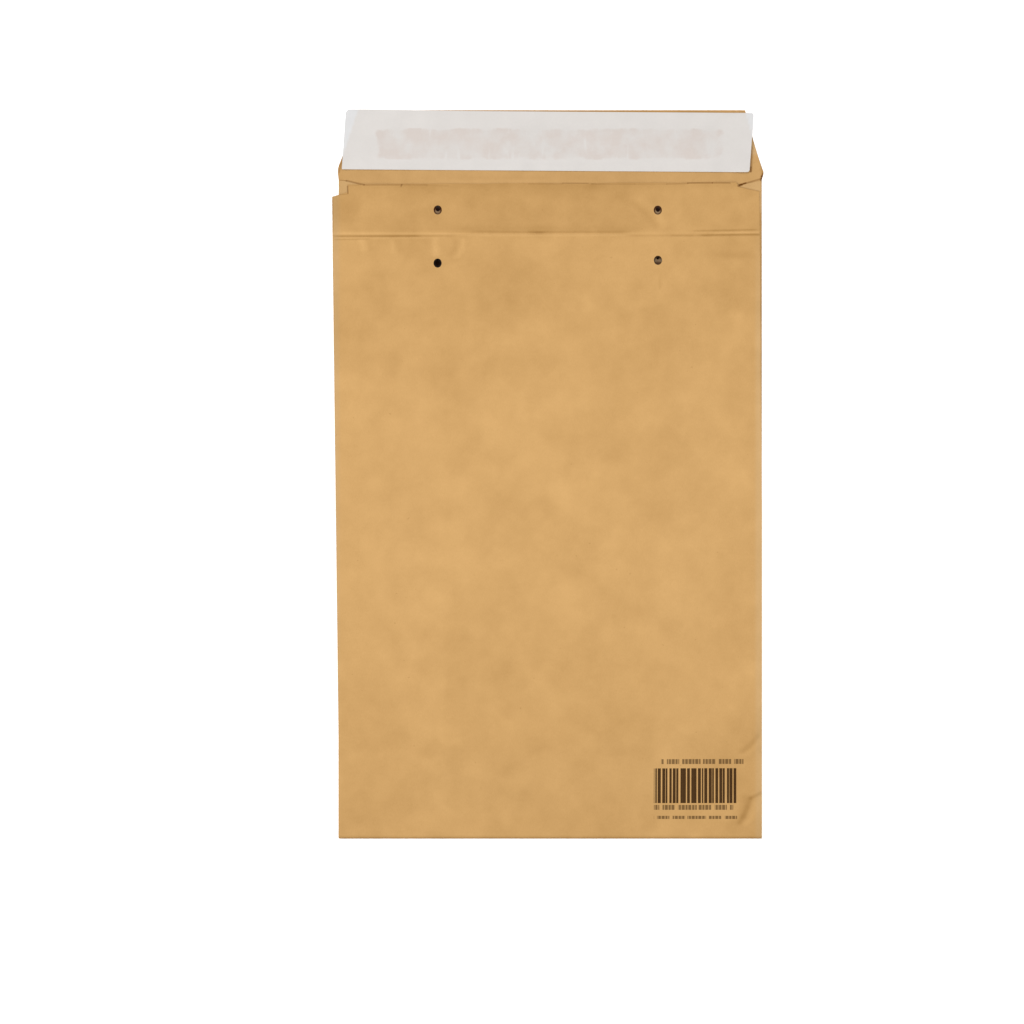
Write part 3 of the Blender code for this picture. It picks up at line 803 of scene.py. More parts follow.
def printed_blocks(x, y, z):
    """Rows of plain blocks: two slow sine waves across each, cut at a level, with two quick ones."""
    total = 0.0
    for area, phase in BLOCK_ROWS:
        block = (x * 640.0 + phase).sine() + (x * 1490.0 + phase * 2).sine() * 0.7
        within = (x * 3300.0).sine() + (x * 5200.0 + phase).sine() * 0.5
        shade = 0.35 + within.ramp(-0.7, -0.2) * 0.65
        total = total + printed_area(x, y, *area) * block.ramp(-1.05, -0.85) * shade
    return total * (z > PRINTED_ABOVE)


def kraft_finish(colours):
    """Golden brown kraft paper: clouds, fibres, flecks, folds with painted shade and highlights, partly
    bruised, and a faint sheen.
    """
    finish = Finish("kraft_paper", Metallic=0.0, Specular_IOR_Level=0.12)
    place = finish.place()
    x, y, z = finish.axes(place)
    grain = paper_grain(finish, place)
    fine = finish.noise(place, 120, 2.0, 0.6)
    change = (fine - 0.5) * 0.14 + (grain - 0.5) * 0.24
    # Painted shade and highlights at folds, partly bruised paper, then painted shade and mottling over the
    # panels
    change = change - finish.value("bruise") * 0.45 - finish.value("tone")
    base = finish.mix(finish.value("inside"), tuple(colours.kraft), tuple(colours.kraft_inside))
    base = finish.tinted(base, change, (0.9, 1.03, 1.34))
    # Painted highlight, bluer and greyer, on the cut edges and on the tabs' ends at the mouth
    base = finish.tinted(base, finish.value("wear") * 0.15, (-0.3, 0.05, 1.0))
    specks = flecks(finish, place, 420) * 0.2 + flecks(finish, place, 1500) * 0.2
    base = finish.mix(specks.clamped(), base, tuple(colours.kraft_dark))
    print_wear = 0.98 - (grain - 0.5).absolute() * 0.3
    printed = (printed_bars(x, y, z) + printed_blocks(x, y, z) * 0.74) * print_wear
    base = finish.mix(printed.clamped(), base, tuple(colours.ink))
    # Painted shadow lines along the cut edges, the liner's right end and the flap's edges
    flat = finish.vector("MULTIPLY", place, (1, 1, 0))
    edges = sum((finish.stroke(flat, line) for line in EDGE_LINES), 0.0) * (z > EDGES_ABOVE)
    base = finish.tinted(base, edges.clamped() * -0.96, (0.78, 0.90, 1.04))
    finish.feed("Base Color", base)
    finish.feed("Roughness", 0.56 + (grain - 0.5) * 0.2 + (fine - 0.5) * 0.08)
    finish.bump(grain + fine * 0.6, 0.02 * MM, 0.8)
    return finish.material


def fibre_finish(colours):
    """Shredded fibre: grey-beige clumps with dark and light shreds, matt, and painted shade round the
    holes.
    """
    finish = Finish("fibre_padding", Metallic=0.0, Specular_IOR_Level=0.01)
    place = finish.place()
    clumps = finish.noise(place, 420, 4.0, 0.7)
    shreds = finish.noise(finish.stretched(place, (1.0, 0.35, 1.0)), 1900, 3.0, 0.7)
    # Near black round the holes: painted shade
    base = finish.tinted(tuple(colours.fibre), finish.value("grime") * -1.0, (0.965, 0.985, 0.99))
    finish.feed("Base Color", finish.scaled_colour(base, 0.55 + clumps * 0.5 + shreds * 0.4))
    finish.feed("Roughness", 0.9 + (shreds - 0.5) * 0.1)
    finish.bump(clumps + shreds * 0.5, 0.25 * MM)
    return finish.material


def lining_finish(colours):
    """Lining tissue: pale brown with fine crepe ridges across it, and painted shade round the holes."""
    finish = Finish("lining_tissue", Metallic=0.0, Specular_IOR_Level=0.02)
    place = finish.place()
    crepe = finish.noise(finish.stretched(place, (0.2, 1.0, 1.0)), 1500, 2.0, 0.6)
    shade = 0.9 + crepe * 0.2 + (finish.noise(place, 60, 3.0) - 0.5) * 0.12
    # Darker round the holes: painted shade
    base = finish.tinted(tuple(colours.lining), finish.value("grime") * -1.0, (0.93, 0.995, 1.02))
    finish.feed("Base Color", finish.scaled_colour(base, shade))
    finish.feed("Roughness", 0.68 + (crepe - 0.5) * 0.15)
    finish.bump(crepe, 0.06 * MM)
    return finish.material


def glue_finish(colours):
    """Dried paper glue: cream, uneven, satin."""
    finish = Finish("seam_glue", Metallic=0.0)
    place = finish.place()
    runs = finish.noise(finish.stretched(place, (1.0, 0.15, 1.0)), 700, 2.0)
    finish.feed("Base Color", finish.scaled_colour(tuple(colours.glue), 0.88 + runs * 0.24))
    finish.feed("Roughness", 0.32 + runs * 0.2)
    finish.bump(runs, 0.03 * MM)
    return finish.material


def adhesive_finish(colours):
    """Flap adhesive: warm cream film with combed streaks along the flap."""
    finish = Finish("flap_adhesive", Metallic=0.0)
    place = finish.place()
    comb = finish.noise(finish.stretched(place, (1.0, 0.06, 1.0)), 520, 2.0, 0.6)
    patches = finish.noise(place, 140, 3.0, 0.6)
    shade = 0.86 + comb * 0.16 + patches * 0.12
    finish.feed("Base Color", finish.scaled_colour(tuple(colours.adhesive), shade))
    finish.feed("Roughness", 0.18 + patches * 0.25)
    finish.bump(comb + patches * 0.5, 0.04 * MM)
    return finish.material


def liner_finish(colours):
    """Release liner: thin white coated paper, warmer and blotchy where the adhesive wets it."""
    finish = Finish("liner_paper", Metallic=0.0, Specular_IOR_Level=0.5)
    place = finish.place()
    blotch = finish.noise(place, 90, 3.0, 0.6)
    comb = finish.noise(finish.stretched(place, (1.0, 0.14, 1.0)), 260, 2.0, 0.55)
    cloudy = finish.noise(place, 30, 3.0, 0.55)
    stuck = finish.value("stuck")
    ragged = (stuck + (blotch - 0.5) * stuck * (1 - stuck) * 8.0).ramp(0.25, 0.75)
    wetted = 0.6 + (blotch - 0.5) * 2.9 + (cloudy - 0.5) * 1.2 - comb.ramp(0.62, 0.72) * 0.5
    base = finish.mix((ragged * wetted).clamped(), tuple(colours.liner), tuple(colours.liner_stuck))
    off_the_flap = tuple(c * s for c, s in zip(colours.liner, (1.03, 1.075, 1.125)))
    base = finish.mix(finish.value("free"), base, off_the_flap)
    shade = 1.0 + (cloudy - 0.5) * 0.10 + (blotch - 0.5) * 0.07
    shade = shade + (finish.noise(place, 900) - 0.5) * 0.05
    finish.feed("Base Color", finish.scaled_colour(base, shade))
    finish.feed("Roughness", 0.42 + (blotch - 0.5) * 0.16)
    finish.bump(cloudy + blotch * 0.4, 0.12 * MM, 0.6)
    return finish.material


def floor_finish(colours):
    """Plain pale studio floor."""
    finish = Finish("studio_floor", Metallic=0.0, Specular_IOR_Level=0.1, Roughness=0.9,
                    Emission_Strength=0.3)
    finish.shader.inputs["Base Color"].default_value = (*colours.floor, 1)
    finish.shader.inputs["Emission Color"].default_value = (1, 1, 1, 1)
    return finish.material


def flap_outline(size, u, v):
    """Plan of the flap: its left and right edges narrow towards the cut end, from rounded shoulders."""
    shoulder = size.flap_end - size.flap_taper
    start = size.mouth + size.tab_rise

    def tapered(further):
        """0 at a shoulder and 1 at the cut end: a power a little under 1, rounded at the shoulder."""
        x = (v - shoulder - further) / (size.flap_taper - further)
        return np.where(v > start, np.clip(x, 0, None) ** 0.87 + 0.012 * smooth(1 - np.abs(x) * 7), 0)

    flared = eased(v, start, shoulder)
    cut_back = (size.front_width + size.flap_flare - size.flap_end_width) / 2
    left = (cut_back + size.left_flare) * tapered(size.left_shoulder) - size.left_flare * flared
    right = size.front_width + size.flap_flare * flared - cut_back * tapered(0)
    return left + u / size.front_width * (right - left)


def notch_edge(size):
    """Where the notch's upright side stands in the plan, before the back panel is set to the left."""
    return size.seam * (size.notch_width - size.overhang) / (size.seam - size.overhang)


def back_outline(size, u, v):
    """Plan of the back panel: cut edges set to the left at the mouth, its notch and its shoulder."""
    notch_floor = size.mouth - size.notch_depth
    widest = notch_floor - size.notch_slant
    left_seam = np.clip((size.seam - u) / size.seam, 0, 1)
    right_seam = np.clip((u - size.front_width + size.seam) / size.seam, 0, 1)
    left = np.clip((v - size.overhang_start) / (widest - size.overhang_start), 0, 1)
    right = np.clip((v - size.shortfall_start) / (widest - size.shortfall_start), 0, 1)
    moved = u - size.overhang * left * left_seam - size.shortfall * right * right_seam
    near_mouth = eased(v, size.mouth - 8 * MM, size.mouth)
    below_notch = eased(v, notch_floor - 6 * MM, notch_floor) * (v < notch_floor + 0.01 * MM)
    tab = size.front_width - size.tab_width
    step = eased(u, tab - 0.5 * MM, tab + 1.9 * MM)
    shoulder = size.shoulder_step * step + (size.shoulder_drop - size.shoulder_step) * right_seam
    drop = shoulder - size.mouth_slant * u / size.front_width - 0.2 * MM * cloud(u, v * 0, 16 * MM, 21)
    slant = size.notch_slant * np.clip(1 - u / notch_edge(size), 0, 1) * below_notch
    return moved, v - drop * near_mouth - slant


def side_fold(size, rows, left):
    """Patch round a side fold, half an ellipse, and across its tab, from the front panel inwards."""
    radius = size.tab_height / 2
    turn = np.linspace(0, math.pi, FOLD_STEPS + 1)
    flat = np.linspace(radius, size.tab_width, TAB_CELLS + 1)[1:]
    across = np.concatenate([radius * (1 - np.sin(turn)), flat])[:, None] + rows * 0
    share_up = np.concatenate([(1 - np.cos(turn)) / 2, flat * 0 + 1])[:, None]
    height = share_up * tab_top(size, rows)
    along = np.broadcast_to(rows, across.shape)
    part = np.clip((across - radius) / (size.tab_width - radius), 0, 1) * (share_up > 0.5)
    straight = 0.3 if left else 0.0
    slanted = np.clip((part - straight) / (1 - straight), 0, 1)
    start = size.tab_slant * part * eased(along, size.tab_start + 9 * MM, size.tab_start)
    near_mouth = eased(along, size.mouth - 7 * MM, size.mouth + 2 * MM)
    end = (size.tab_rise + size.tab_fall) * slanted * near_mouth
    u = across if left else size.front_width - across
    points = np.stack([u, along + start - end, height], axis=-1)
    points = points if left else points[::-1]
    return points.reshape(-1, 3), grid_faces(*points.shape[:2])


def bottom_fold(columns, radius):
    """Patch round the bottom fold: a half circle from the back panel down to the front panel."""
    turn = np.linspace(math.pi, 0, FOLD_STEPS + 1)
    across, angle = np.meshgrid(columns[::-1], turn, indexing="ij")
    points = np.stack([across, radius * (1 - np.sin(angle)), radius * (1 - np.cos(angle))], axis=-1)
    return points.reshape(-1, 3), grid_faces(len(columns), len(turn))


def on_floor(plan, faces):
    """Patch of the front panel, which lies on the floor and faces it."""
    return raised(plan, np.zeros(len(plan))), faces[:, ::-1]


def flap_patch(size, columns):
    """The flap, which faces the floor and curls off it."""
    rows = ruled(np.linspace(size.mouth + size.tab_rise, size.flap_end, FLAP_LINES))
    plan, faces = plan_sheet(columns, rows)
    u, v = flap_outline(size, *plan.T), plan[:, 1]
    return np.stack([u, v, flap_inside(size, u, v) - size.paper], axis=1), faces[:, ::-1]


def kraft_sheet(size):
    """The folded sheet's outside: the patches of its blank, welded where they meet."""
    radius, fold = size.tab_height / 2, float(back_top(size, 0, 0)) / 2
    notch_floor = size.mouth - size.notch_depth
    inner = grid_lines(size, 0, radius, size.front_width - radius, COLUMNS, notch_edge(size))
    columns = ruled(inner, 0, size.front_width)
    front_rows = grid_lines(size, 1, size.tab_start, size.mouth + size.tab_rise, FRONT_ROWS)
    back_rows = grid_lines(size, 1, fold, size.mouth, BACK_ROWS, notch_floor)
    holes, centres = hole_places(size), hole_centres(size)

    def beside_notch(u, v):
        """True where the back panel has paper."""
        return ~((u < notch_edge(size)) & (v > notch_floor))

    plan, faces = plan_sheet(columns, back_rows, holes, centres, beside_notch)
    back = np.stack([*back_outline(size, *plan.T), back_top(size, *plan.T)], axis=1)
    return weld([
        on_floor(*plan_sheet(columns, np.array([fold, size.tab_start]))),
        on_floor(*plan_sheet(inner, front_rows, holes, centres)),
        flap_patch(size, columns),
        side_fold(size, front_rows, True),
        side_fold(size, front_rows, False),
        bottom_fold(columns, fold),
        (back, faces),
    ])


def above_tabs(z):
    """0 on the floor and 1 on the back panel, by height."""
    return eased(z, 0.4 * MM, 0.6 * MM)


def rubbed_parts(size, u, v, z):
    """1 on the back panel's left cut edge, on its right one, and on the tabs' ends seen at the mouth."""
    on_top = z > tab_top(size, v) + 0.1 * MM
    left = eased(u, 1.5 * MM, -1 * MM) * on_top
    near_right = eased(u, size.front_width - 5 * MM, size.front_width - 2 * MM)
    right = near_right * on_top * eased(v, size.mouth, size.mouth - 90 * MM)
    over_tab = np.minimum(u, size.front_width - u) < size.tab_width
    return left, right, over_tab * ~on_top * (z > 0.3 * MM) * (v > size.mouth - 16 * MM)


def worn(size, points):
    """Painted highlight on each point, bluer and greyer, from 0 to 1."""
    return np.clip(sum(rubbed_parts(size, *points.T)), 0, 1)


def bruises(size, points):
    """Painted shade along folds, partly bruised paper: 1 in a groove, and below 0 a painted highlight on a
    ridge.
    """
    u, v, z = points.T
    shown = np.maximum(above_tabs(z), v > size.mouth + size.tab_rise)
    width = size.front_width
    # Painted shadow along the right fold, and painted shade round the bottom fold
    side = eased(u, width - 0.9 * MM, width - 0.4 * MM) * eased(v, 170 * MM, 290 * MM)
    bottom = eased(v, 1.6 * MM, 0.7 * MM) * eased(z, 0, 0.4 * MM)
    return np.clip(pressed(u, v, STAINS) * shown + 0.42 * side + 0.42 * bottom, -1, 1)


def toned(size, points):
    """Painted shade, with some random mottling: more towards the mouth and the foot, with clouds and
    facets.
    """
    u, v, z = points.T
    middle = 1 - np.clip(np.abs(u - 110 * MM) / (130 * MM), 0, 1)
    # Painted shade: darker towards the crease, over the band beyond it, towards the foot, in the bottom
    # right corner and on the flap's strip by the mouth
    crease = 0.085 * eased(v, 240 * MM, 330 * MM)
    band = (0.036 + 0.036 * middle) * eased(v, size.crease + 1 * MM, size.crease + 4 * MM)
    foot = 0.055 * eased(v, 110 * MM, 40 * MM)
    corner = 0.095 * eased(u, 200 * MM, 240 * MM) * eased(v, 62 * MM, 22 * MM)
    strip = 0.055 * eased(v, size.mouth - 4 * MM, size.mouth)
    # Clouds partly of painted light and shade, partly random mottling, and painted shade of pressed facets
    clouds = 0.022 * cloud(u, v, 46 * MM, 81) + 0.024 * cloud(u, v, 19 * MM, 82)
    clouds = clouds + 0.022 * cloud(u, v, 8 * MM, 83)
    pressings = 0.032 * facets(u, v, 30 * MM, 94) + 0.030 * facets(u, v, 12 * MM, 85)
    _, right, seen_tab = rubbed_parts(size, u, v, z)
    # Painted highlight on the right cut edge and on the tabs' ends at the mouth
    pale = 0.07 * right + 0.11 * seen_tab
    return (crease + band + foot + corner) * above_tabs(z) + strip - clouds - pressings - pale


class EnvelopeOperator(bpy.types.Operator):
    """Shared by the operators: they use the scene's sizes and colours."""

    bl_options = {"REGISTER", "UNDO"}


class ENVELOPE_OT_kraft_sheet(EnvelopeOperator):
    """Fold the kraft sheet: front panel, side tabs, back panel and flap"""

    bl_idname = "envelope.kraft_sheet"
    bl_label = "Kraft sheet"

    def execute(self, context):
        size = context.scene.envelope_sizes
        finish = kraft_finish(context.scene.envelope_colours)
        outside, faces = kraft_sheet(size)
        inside = outside - normals(outside, faces) * size.paper
        # Painted fold shade and highlights, painted edge highlights, painted shade and mottling, and which
        # face is inside
        make_piece(size, "kraft_sheet", outside, inside, faces, finish, "kraft_envelope", "kraft_paper",
                   bruise=bruises(size, outside), wear=worn(size, outside), tone=toned(size, outside),
                   inside=np.repeat([0.0, 1.0], len(outside)))
        return {"FINISHED"}


class ENVELOPE_OT_padding(EnvelopeOperator):
    """Lay the two pads of shredded fibre, one on each side of the lining"""

    bl_idname = "envelope.padding"
    bl_label = "Padding"

    def execute(self, context):
        size = context.scene.envelope_sizes
        finish = fibre_finish(context.scene.envelope_colours)
        self.lay(size, "front_pad", "front_padding", finish, 0.06, 0.36, 31, pierced=False)
        self.lay(size, "back_pad", "back_padding", finish, 0.62, 0.94, 32, pierced=True)
        return {"FINISHED"}

    def lay(self, size, name, node, finish, low, high, seed, pierced):
        """One pad between two parts of the height inside, fluffed by a cloud. Its painted shade is
        exp(-reach^4).
        """
        plan, faces = self.plan(size, seed, pierced)
        u, v = plan.T
        fluff = 0.02 * cloud(u, v, 4 * MM, seed)
        top = raised(plan, layer_height(size, u, v, high + fluff))
        bottom = raised(plan, layer_height(size, u, v, low + fluff))
        reaches = [np.hypot(u - hole.u, v - hole.v) / (4 * MM) for hole in hole_places(size)]
        # Painted shade round each hole, so that the holes look black
        grime = sum(np.exp(-reach ** 4) for reach in reaches)
        pad = make_piece(size, name, top, bottom, faces, finish, node, "fibre_padding", grime=grime)

    def plan(self, size, seed, pierced):
        """Plan of a pad: its holes have drifted a little from the paper's, or loose fibre fills them."""
        columns = grid_lines(size, 0, size.seam, size.front_width - size.seam, INNER_LINES)
        rows = grid_lines(size, 1, PAD_LOW[1] - SHEET_LOW[1], PAD_HIGH[1] - SHEET_LOW[1], INNER_LINES)
        if not pierced:
            return plan_sheet(columns, rows)
        return plan_sheet(columns, rows, hole_places(size, 0.5 * MM, seed), hole_centres(size))


class ENVELOPE_OT_lining_pocket(EnvelopeOperator):
    """Fold the lining: two plies that meet at the sides and the bottom"""

    bl_idname = "envelope.lining_pocket"
    bl_label = "Lining pocket"

    def execute(self, context):
        size = context.scene.envelope_sizes
        finish = lining_finish(context.scene.envelope_colours)
        outside, faces = weld([self.ply(size, 0.42, True), self.ply(size, 0.56, False)])
        inside = outside - normals(outside, faces) * LINING_TISSUE
        make_piece(size, "lining", outside, inside, faces, finish, "lining_pocket", "lining_tissue",
                   grime=self.grime(size, outside[:, 0], outside[:, 1]))
        return {"FINISHED"}

    def ply(self, size, part, facing_floor):
        """One ply at its part of the height inside. It eases to the height of the sealed edges."""
        sealed_part = 0.49
        left, right = (edge[0] - SHEET_LOW[0] - size.overhang for edge in (LINING_LOW, LINING_HIGH))
        low, high = (edge[1] - SHEET_LOW[1] for edge in (LINING_LOW, LINING_HIGH))
        columns = grid_lines(size, 0, left, right, INNER_LINES)
        rows = grid_lines(size, 1, low, high, INNER_LINES)
        plan, faces = plan_sheet(columns, rows, lining_holes(size), hole_centres(size))
        u, v = plan.T
        inward = np.minimum(np.minimum(u - left, right - u), v - low)
        height = layer_height(size, u, v, sealed_part + (part - sealed_part) * eased(inward, 0, 6 * MM))
        return raised(plan, height), faces[:, ::-1] if facing_floor else faces

    def grime(self, size, u, v):
        """Painted shade on the lining by each hole: by distance from its middle, or from a bar through it.
        """
        total = 0
        for hole, (barred, low, high) in zip(hole_places(size), LINING_SHADES):
            du, dv = (u - hole.u) / hole.radius, (v - hole.v) / hole.radius
            reach = np.abs(dv) if barred else np.hypot(du, dv + 0.25)
            start = 0.18 if barred else 0.42
            centre = low - 0.26 * np.clip(np.abs(du), 0, 1) * barred
            dark = centre + (high - centre) * eased(reach, start, start + 0.42)
            total = total + dark * eased(np.hypot(du, dv), 2.2, 1.0)
        return total


class ENVELOPE_OT_seam_glue(EnvelopeOperator):
    """Run the glue along the side tabs and the lining's mouth"""

    bl_idname = "envelope.seam_glue"
    bl_label = "Seam glue"

    def execute(self, context):
        size = context.scene.envelope_sizes
        finish = glue_finish(context.scene.envelope_colours)
        self.run(size, "left_seam_glue", finish, self.over_tab)
        self.run(size, "right_seam_glue", finish, self.over_tab)
        self.run(size, "front_mouth_glue", finish, self.on_front_panel)
        self.run(size, "back_mouth_glue", finish, self.under_back_panel)
        return {"FINISHED"}

    def over_tab(self, size, u, v):
        """Heights of the glue between a tab and the back panel."""
        gap = 0.02 * MM
        low = tab_top(size, v) + gap
        return low, np.minimum(low + size.glue_height - 2 * gap, back_top(size, u, v) - size.paper - gap)

    def on_front_panel(self, size, u, v):
        """Heights of the glue between the front panel and the lining, at the mouth."""
        return layer_height(size, u, v, 0.0), layer_height(size, u, v, 0.03)

    def under_back_panel(self, size, u, v):
        """Heights of the glue between the lining and the back panel, at the mouth."""
        return layer_height(size, u, v, 0.97), layer_height(size, u, v, 1.0)

    def run(self, size, node, finish, heights):
        """One run of glue in its node's place, whose long edges waver."""
        low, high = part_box(node)
        upright = high[1] - low[1] > high[0] - low[0]
        u = np.linspace(low[0], high[0], 5 if upright else 90)
        v = np.linspace(low[1], high[1], 130 if upright else 5)
        plan, faces = plan_sheet(u - SHEET_LOW[0] - size.overhang, v - SHEET_LOW[1])
        narrow = 0 if upright else 1
        middle = plan[:, narrow].mean()
        waver = 1 - 0.12 * (1 + cloud(plan.sum(axis=1), plan[:, 0] * 0, 9 * MM, 51))
        plan[:, narrow] = middle + (plan[:, narrow] - middle) * waver
        bottom, top = heights(size, *plan.T)
        make_piece(size, node + "_run", raised(plan, top), raised(plan, bottom), faces, finish, node,
                   "seam_glue")


class ENVELOPE_OT_flap_closure(EnvelopeOperator):
    """Lay the adhesive strip and its release liner on the flap"""

    bl_idname = "envelope.flap_closure"
    bl_label = "Flap closure"

    def execute(self, context):
        size, closure = context.scene.envelope_sizes, context.scene.closure_sizes
        colours = context.scene.envelope_colours
        self.adhesive(size, closure, adhesive_finish(colours))
        self.liner(size, closure, liner_finish(colours))
        return {"FINISHED"}

    def adhesive_middle(self, size, closure):
        """Middle of the adhesive strip in the plan."""
        from_end = closure.adhesive_from_end + closure.adhesive_height / 2
        return size.front_width / 2, size.flap_end - from_end

    def adhesive(self, size, closure, finish):
        """The strip: a grid whose edges waver, and whose top has the comb's ridges."""
        middle = self.adhesive_middle(size, closure)
        width, height = closure.adhesive_width / 2, closure.adhesive_height / 2
        plan, faces = plan_sheet(np.linspace(-width, width, 160), np.linspace(-height, height, 16))
        edge = 1 + 0.02 * cloud(plan[:, 0], np.sign(plan[:, 1]) * 0.2, 6 * MM, 61)
        end = 1 + 0.003 * cloud(plan[:, 1], np.sign(plan[:, 0]) * 0.2, 3 * MM, 62)
        u, v = middle[0] + plan[:, 0] * end, middle[1] + plan[:, 1] * edge
        plan = np.stack([u, v], axis=1)
        base = flap_inside(size, u, v) + CLOSURE_GAP
        top = base + (0.07 + 0.015 * cloud(u, v * 0.1, 2 * MM, 63)) * MM
        make_piece(size, "adhesive_strip", raised(plan, top), raised(plan, base), faces, finish,
                   "flap_adhesive", "flap_adhesive")

    def liner(self, size, closure, finish):
        """The liner: its outline turned on the flap, lifted where no adhesive holds it."""
        across, along, from_end, faces = self.liner_outline(closure)
        u, v = self.turned(size, closure, across, along)
        stuck = self.stuck(size, closure, u, v)
        loose = 0.10 + 0.16 * (1 + cloud(u, v, 26 * MM, 71)) + 0.05 * cloud(u, v, 8 * MM, 72) + from_end
        lift = np.where(stuck > 0, 0.12 + (loose - 0.12) * (1 - stuck), loose) * MM
        base = flap_inside(size, u, v) + CLOSURE_GAP + lift
        flap_left, flap_right = (flap_outline(size, u * 0 + side, v) for side in (0, size.front_width))
        free = smooth(0.5 + np.maximum(flap_left - u, u - flap_right) / (0.8 * MM))
        plan = np.stack([u, v], axis=1)
        top = base + closure.liner_thickness
        make_piece(size, "release_liner_sheet", raised(plan, top), raised(plan, base), faces, finish,
                   "release_liner", "liner_paper", stuck=stuck, free=free)

    def liner_outline(self, closure):
        """The liner about its own middle: rows cut back by a quarter circle at each corner, and slanted.

        Also the lift of its two loose ends in millimetres: smooth steps over the last of each row.
        """
        width, height = closure.liner_width / 2, closure.liner_height / 2
        widest = closure.liner_corner * max(LINER_CORNERS)
        near = widest * (1 - np.cos(np.linspace(0, math.pi / 2, 8)))
        rows = ruled(np.linspace(widest - height, height - widest, 20), height - near, near - height)
        plan, faces = plan_sheet(np.linspace(-1, 1, 200), rows)
        part, along = plan.T
        right, top_left, bottom_left = LINER_CORNERS
        shares = np.where(part > 0, right, np.where(along > 0, top_left, bottom_left))
        corner = closure.liner_corner * shares
        over = np.clip(np.abs(along) - height + corner, 0, corner)
        half = width - corner + np.sqrt(corner ** 2 - over ** 2)
        across = part * half + math.tan(closure.liner_slant) * along
        right_end, left_end = eased(across - half, -14 * MM, 0), eased(-across - half, -9 * MM, 0)
        return across, along, right_end * 0.75 + left_end * 0.25, faces

    def turned(self, size, closure, across, along):
        """The liner's plan on the flap: turned, with its outer edge sagging towards the right."""
        turn, height = closure.liner_turn, closure.liner_height
        middle_u = size.front_width / 2 + closure.liner_off_centre
        middle_v = size.flap_end - closure.liner_from_end - height / 2
        u = middle_u + across * math.cos(turn) - along * math.sin(turn)
        v = middle_v + across * math.sin(turn) + along * math.cos(turn)
        sag = closure.liner_sag * eased(across, -112 * MM, -32 * MM) * (along / height + 0.5)
        return u, v - sag

    def stuck(self, size, closure, u, v):
        """1 where the adhesive holds the liner, easing to 0 across the strip's edges."""
        middle = self.adhesive_middle(size, closure)
        out_u = np.abs(u - middle[0]) - closure.adhesive_width / 2
        out_v = np.abs(v - middle[1]) - closure.adhesive_height / 2 + 1.1 * MM
        return smooth(0.5 - out_u / (12 * MM)) * smooth(0.5 - out_v / (4.2 * MM))


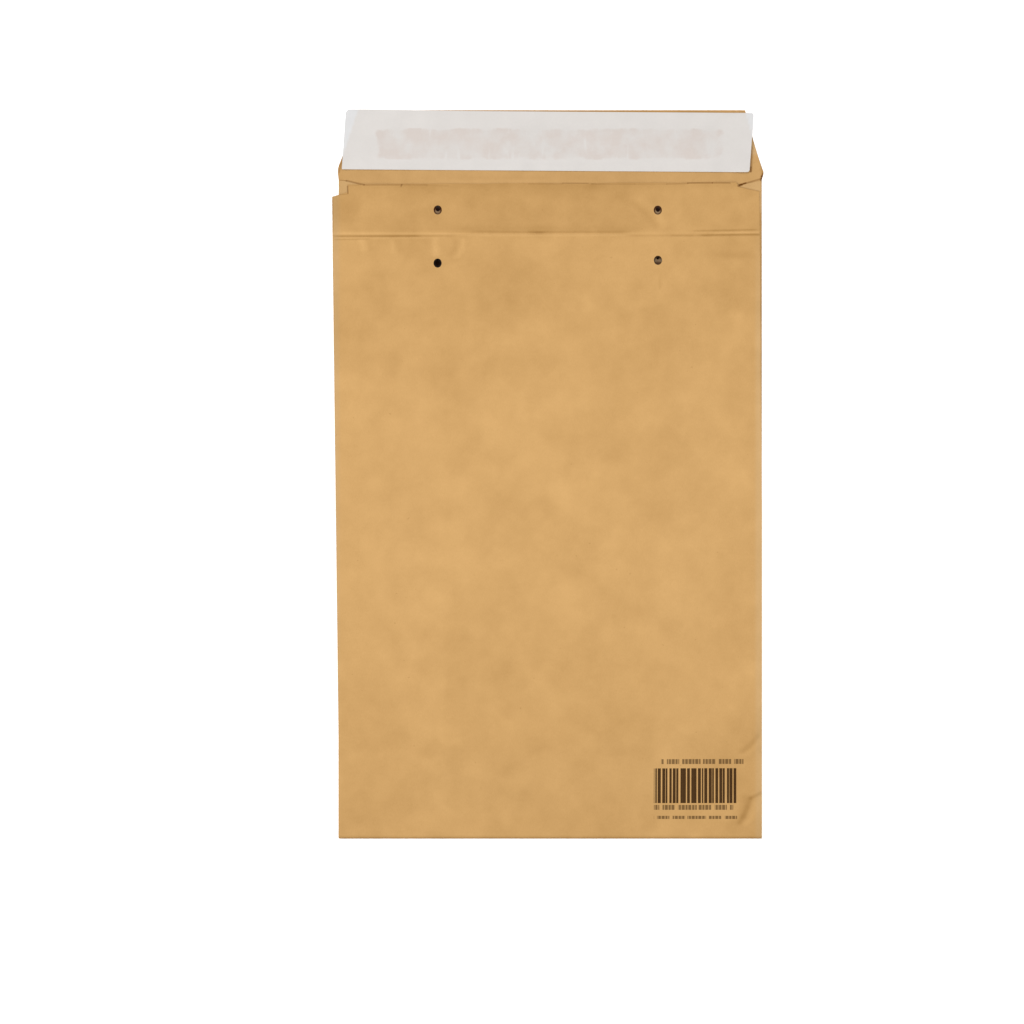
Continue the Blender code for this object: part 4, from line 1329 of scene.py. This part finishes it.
class ENVELOPE_OT_stage(EnvelopeOperator):
    """Set the floor, the soft lights, the surroundings and the camera"""

    bl_idname = "envelope.stage"
    bl_label = "Stage"

    def execute(self, context):
        studio = context.scene.envelope_studio
        self.floor(context.scene.envelope_colours)
        self.softbox(studio, "left_softbox", 285, studio.left_light)
        self.softbox(studio, "right_softbox", 90, studio.right_light)
        self.softbox(studio, "low_softbox", 180, studio.low_light)
        self.softbox(studio, "high_softbox", 0, studio.high_light)
        self.surroundings(studio.ambient)
        self.camera(studio)
        return {"FINISHED"}

    def floor(self, colours):
        """One wide square, a hair below the envelope."""
        reach, drop = 12.0, 0.15 * MM
        corners = [(x * reach, y * reach, -drop) for x, y in ((-1, -1), (1, -1), (1, 1), (-1, 1))]
        mesh = bpy.data.meshes.new("studio_floor")
        mesh.from_pydata(corners, [], [(0, 1, 2, 3)])
        mesh.materials.append(floor_finish(colours))
        floor = bpy.data.objects.new("studio_floor", mesh)
        bpy.context.scene.collection.objects.link(floor)

    def softbox(self, studio, name, azimuth, power):
        """A square area light that faces the envelope, azimuth clockwise from +Y in degrees."""
        light = bpy.data.lights.new(name, "AREA")
        light.shape = "SQUARE"
        light.size = studio.light_size
        light.energy = power
        lamp = bpy.data.objects.new(name, light)
        a, e = math.radians(azimuth), studio.light_elevation
        toward = np.array([math.sin(a) * math.cos(e), math.cos(a) * math.cos(e), math.sin(e)])
        lamp.location = studio.light_distance * toward
        lamp.rotation_euler = (math.pi / 2 - e, 0, math.pi - a)
        bpy.context.scene.collection.objects.link(lamp)

    def surroundings(self, ambient):
        """A pale world that lights faintly and shows white behind the floor's edge."""
        world = bpy.data.worlds.new("studio")
        world.use_nodes = True
        tree = world.node_tree
        background = tree.nodes["Background"]
        background.inputs["Color"].default_value = (1, 1, 1, 1)
        path = tree.nodes.new("ShaderNodeLightPath")
        seen = tree.nodes.new("ShaderNodeMapRange")
        seen.inputs["To Min"].default_value = ambient
        seen.inputs["To Max"].default_value = 1.0
        tree.links.new(path.outputs["Is Camera Ray"], seen.inputs["Value"])
        tree.links.new(seen.outputs["Result"], background.inputs["Strength"])
        bpy.context.scene.world = world

    def camera(self, studio):
        """Straight down, with the flap up the picture."""
        data = bpy.data.cameras.new("camera")
        data.sensor_width = 36
        data.lens = data.sensor_width * studio.camera_height / studio.field
        camera = bpy.data.objects.new("camera", data)
        camera.location = (studio.aim_x, studio.aim_y, studio.camera_height + 1.5 * MM)
        bpy.context.scene.collection.objects.link(camera)
        bpy.context.scene.camera = camera
        bpy.context.scene.view_settings.view_transform = "Standard"


OPERATORS = (
    ENVELOPE_OT_kraft_sheet,
    ENVELOPE_OT_padding,
    ENVELOPE_OT_lining_pocket,
    ENVELOPE_OT_seam_glue,
    ENVELOPE_OT_flap_closure,
    ENVELOPE_OT_stage,
)
GROUPS = {
    "envelope_sizes": EnvelopeSizes,
    "closure_sizes": ClosureSizes,
    "envelope_colours": EnvelopeColours,
    "envelope_studio": StudioSettings,
}


class ENVELOPE_PT_panel(bpy.types.Panel):
    """Lists the steps in order, and the sizes and colours that they use"""

    bl_label = "Padded envelope"
    bl_idname = "ENVELOPE_PT_panel"
    bl_space_type = "VIEW_3D"
    bl_region_type = "UI"
    bl_category = "Envelope"

    def draw(self, context):
        for operator in OPERATORS:
            self.layout.operator(operator.bl_idname)
        for label in GROUPS:
            group = getattr(context.scene, label)
            for name in group.bl_rna.properties.keys():
                if name not in ("rna_type", "name"):
                    self.layout.prop(group, name)


CLASSES = (*GROUPS.values(), *OPERATORS, ENVELOPE_PT_panel)


def register():
    for cls in CLASSES:
        bpy.utils.register_class(cls)
    for label, group in GROUPS.items():
        setattr(bpy.types.Scene, label, PointerProperty(type=group))


def unregister():
    for label in GROUPS:
        delattr(bpy.types.Scene, label)
    for cls in reversed(CLASSES):
        bpy.utils.unregister_class(cls)


def main():
    register()
    bpy.ops.envelope.kraft_sheet()
    bpy.ops.envelope.padding()
    bpy.ops.envelope.lining_pocket()
    bpy.ops.envelope.seam_glue()
    bpy.ops.envelope.flap_closure()
    bpy.ops.envelope.stage()


if __name__ == "__main__":
    main()
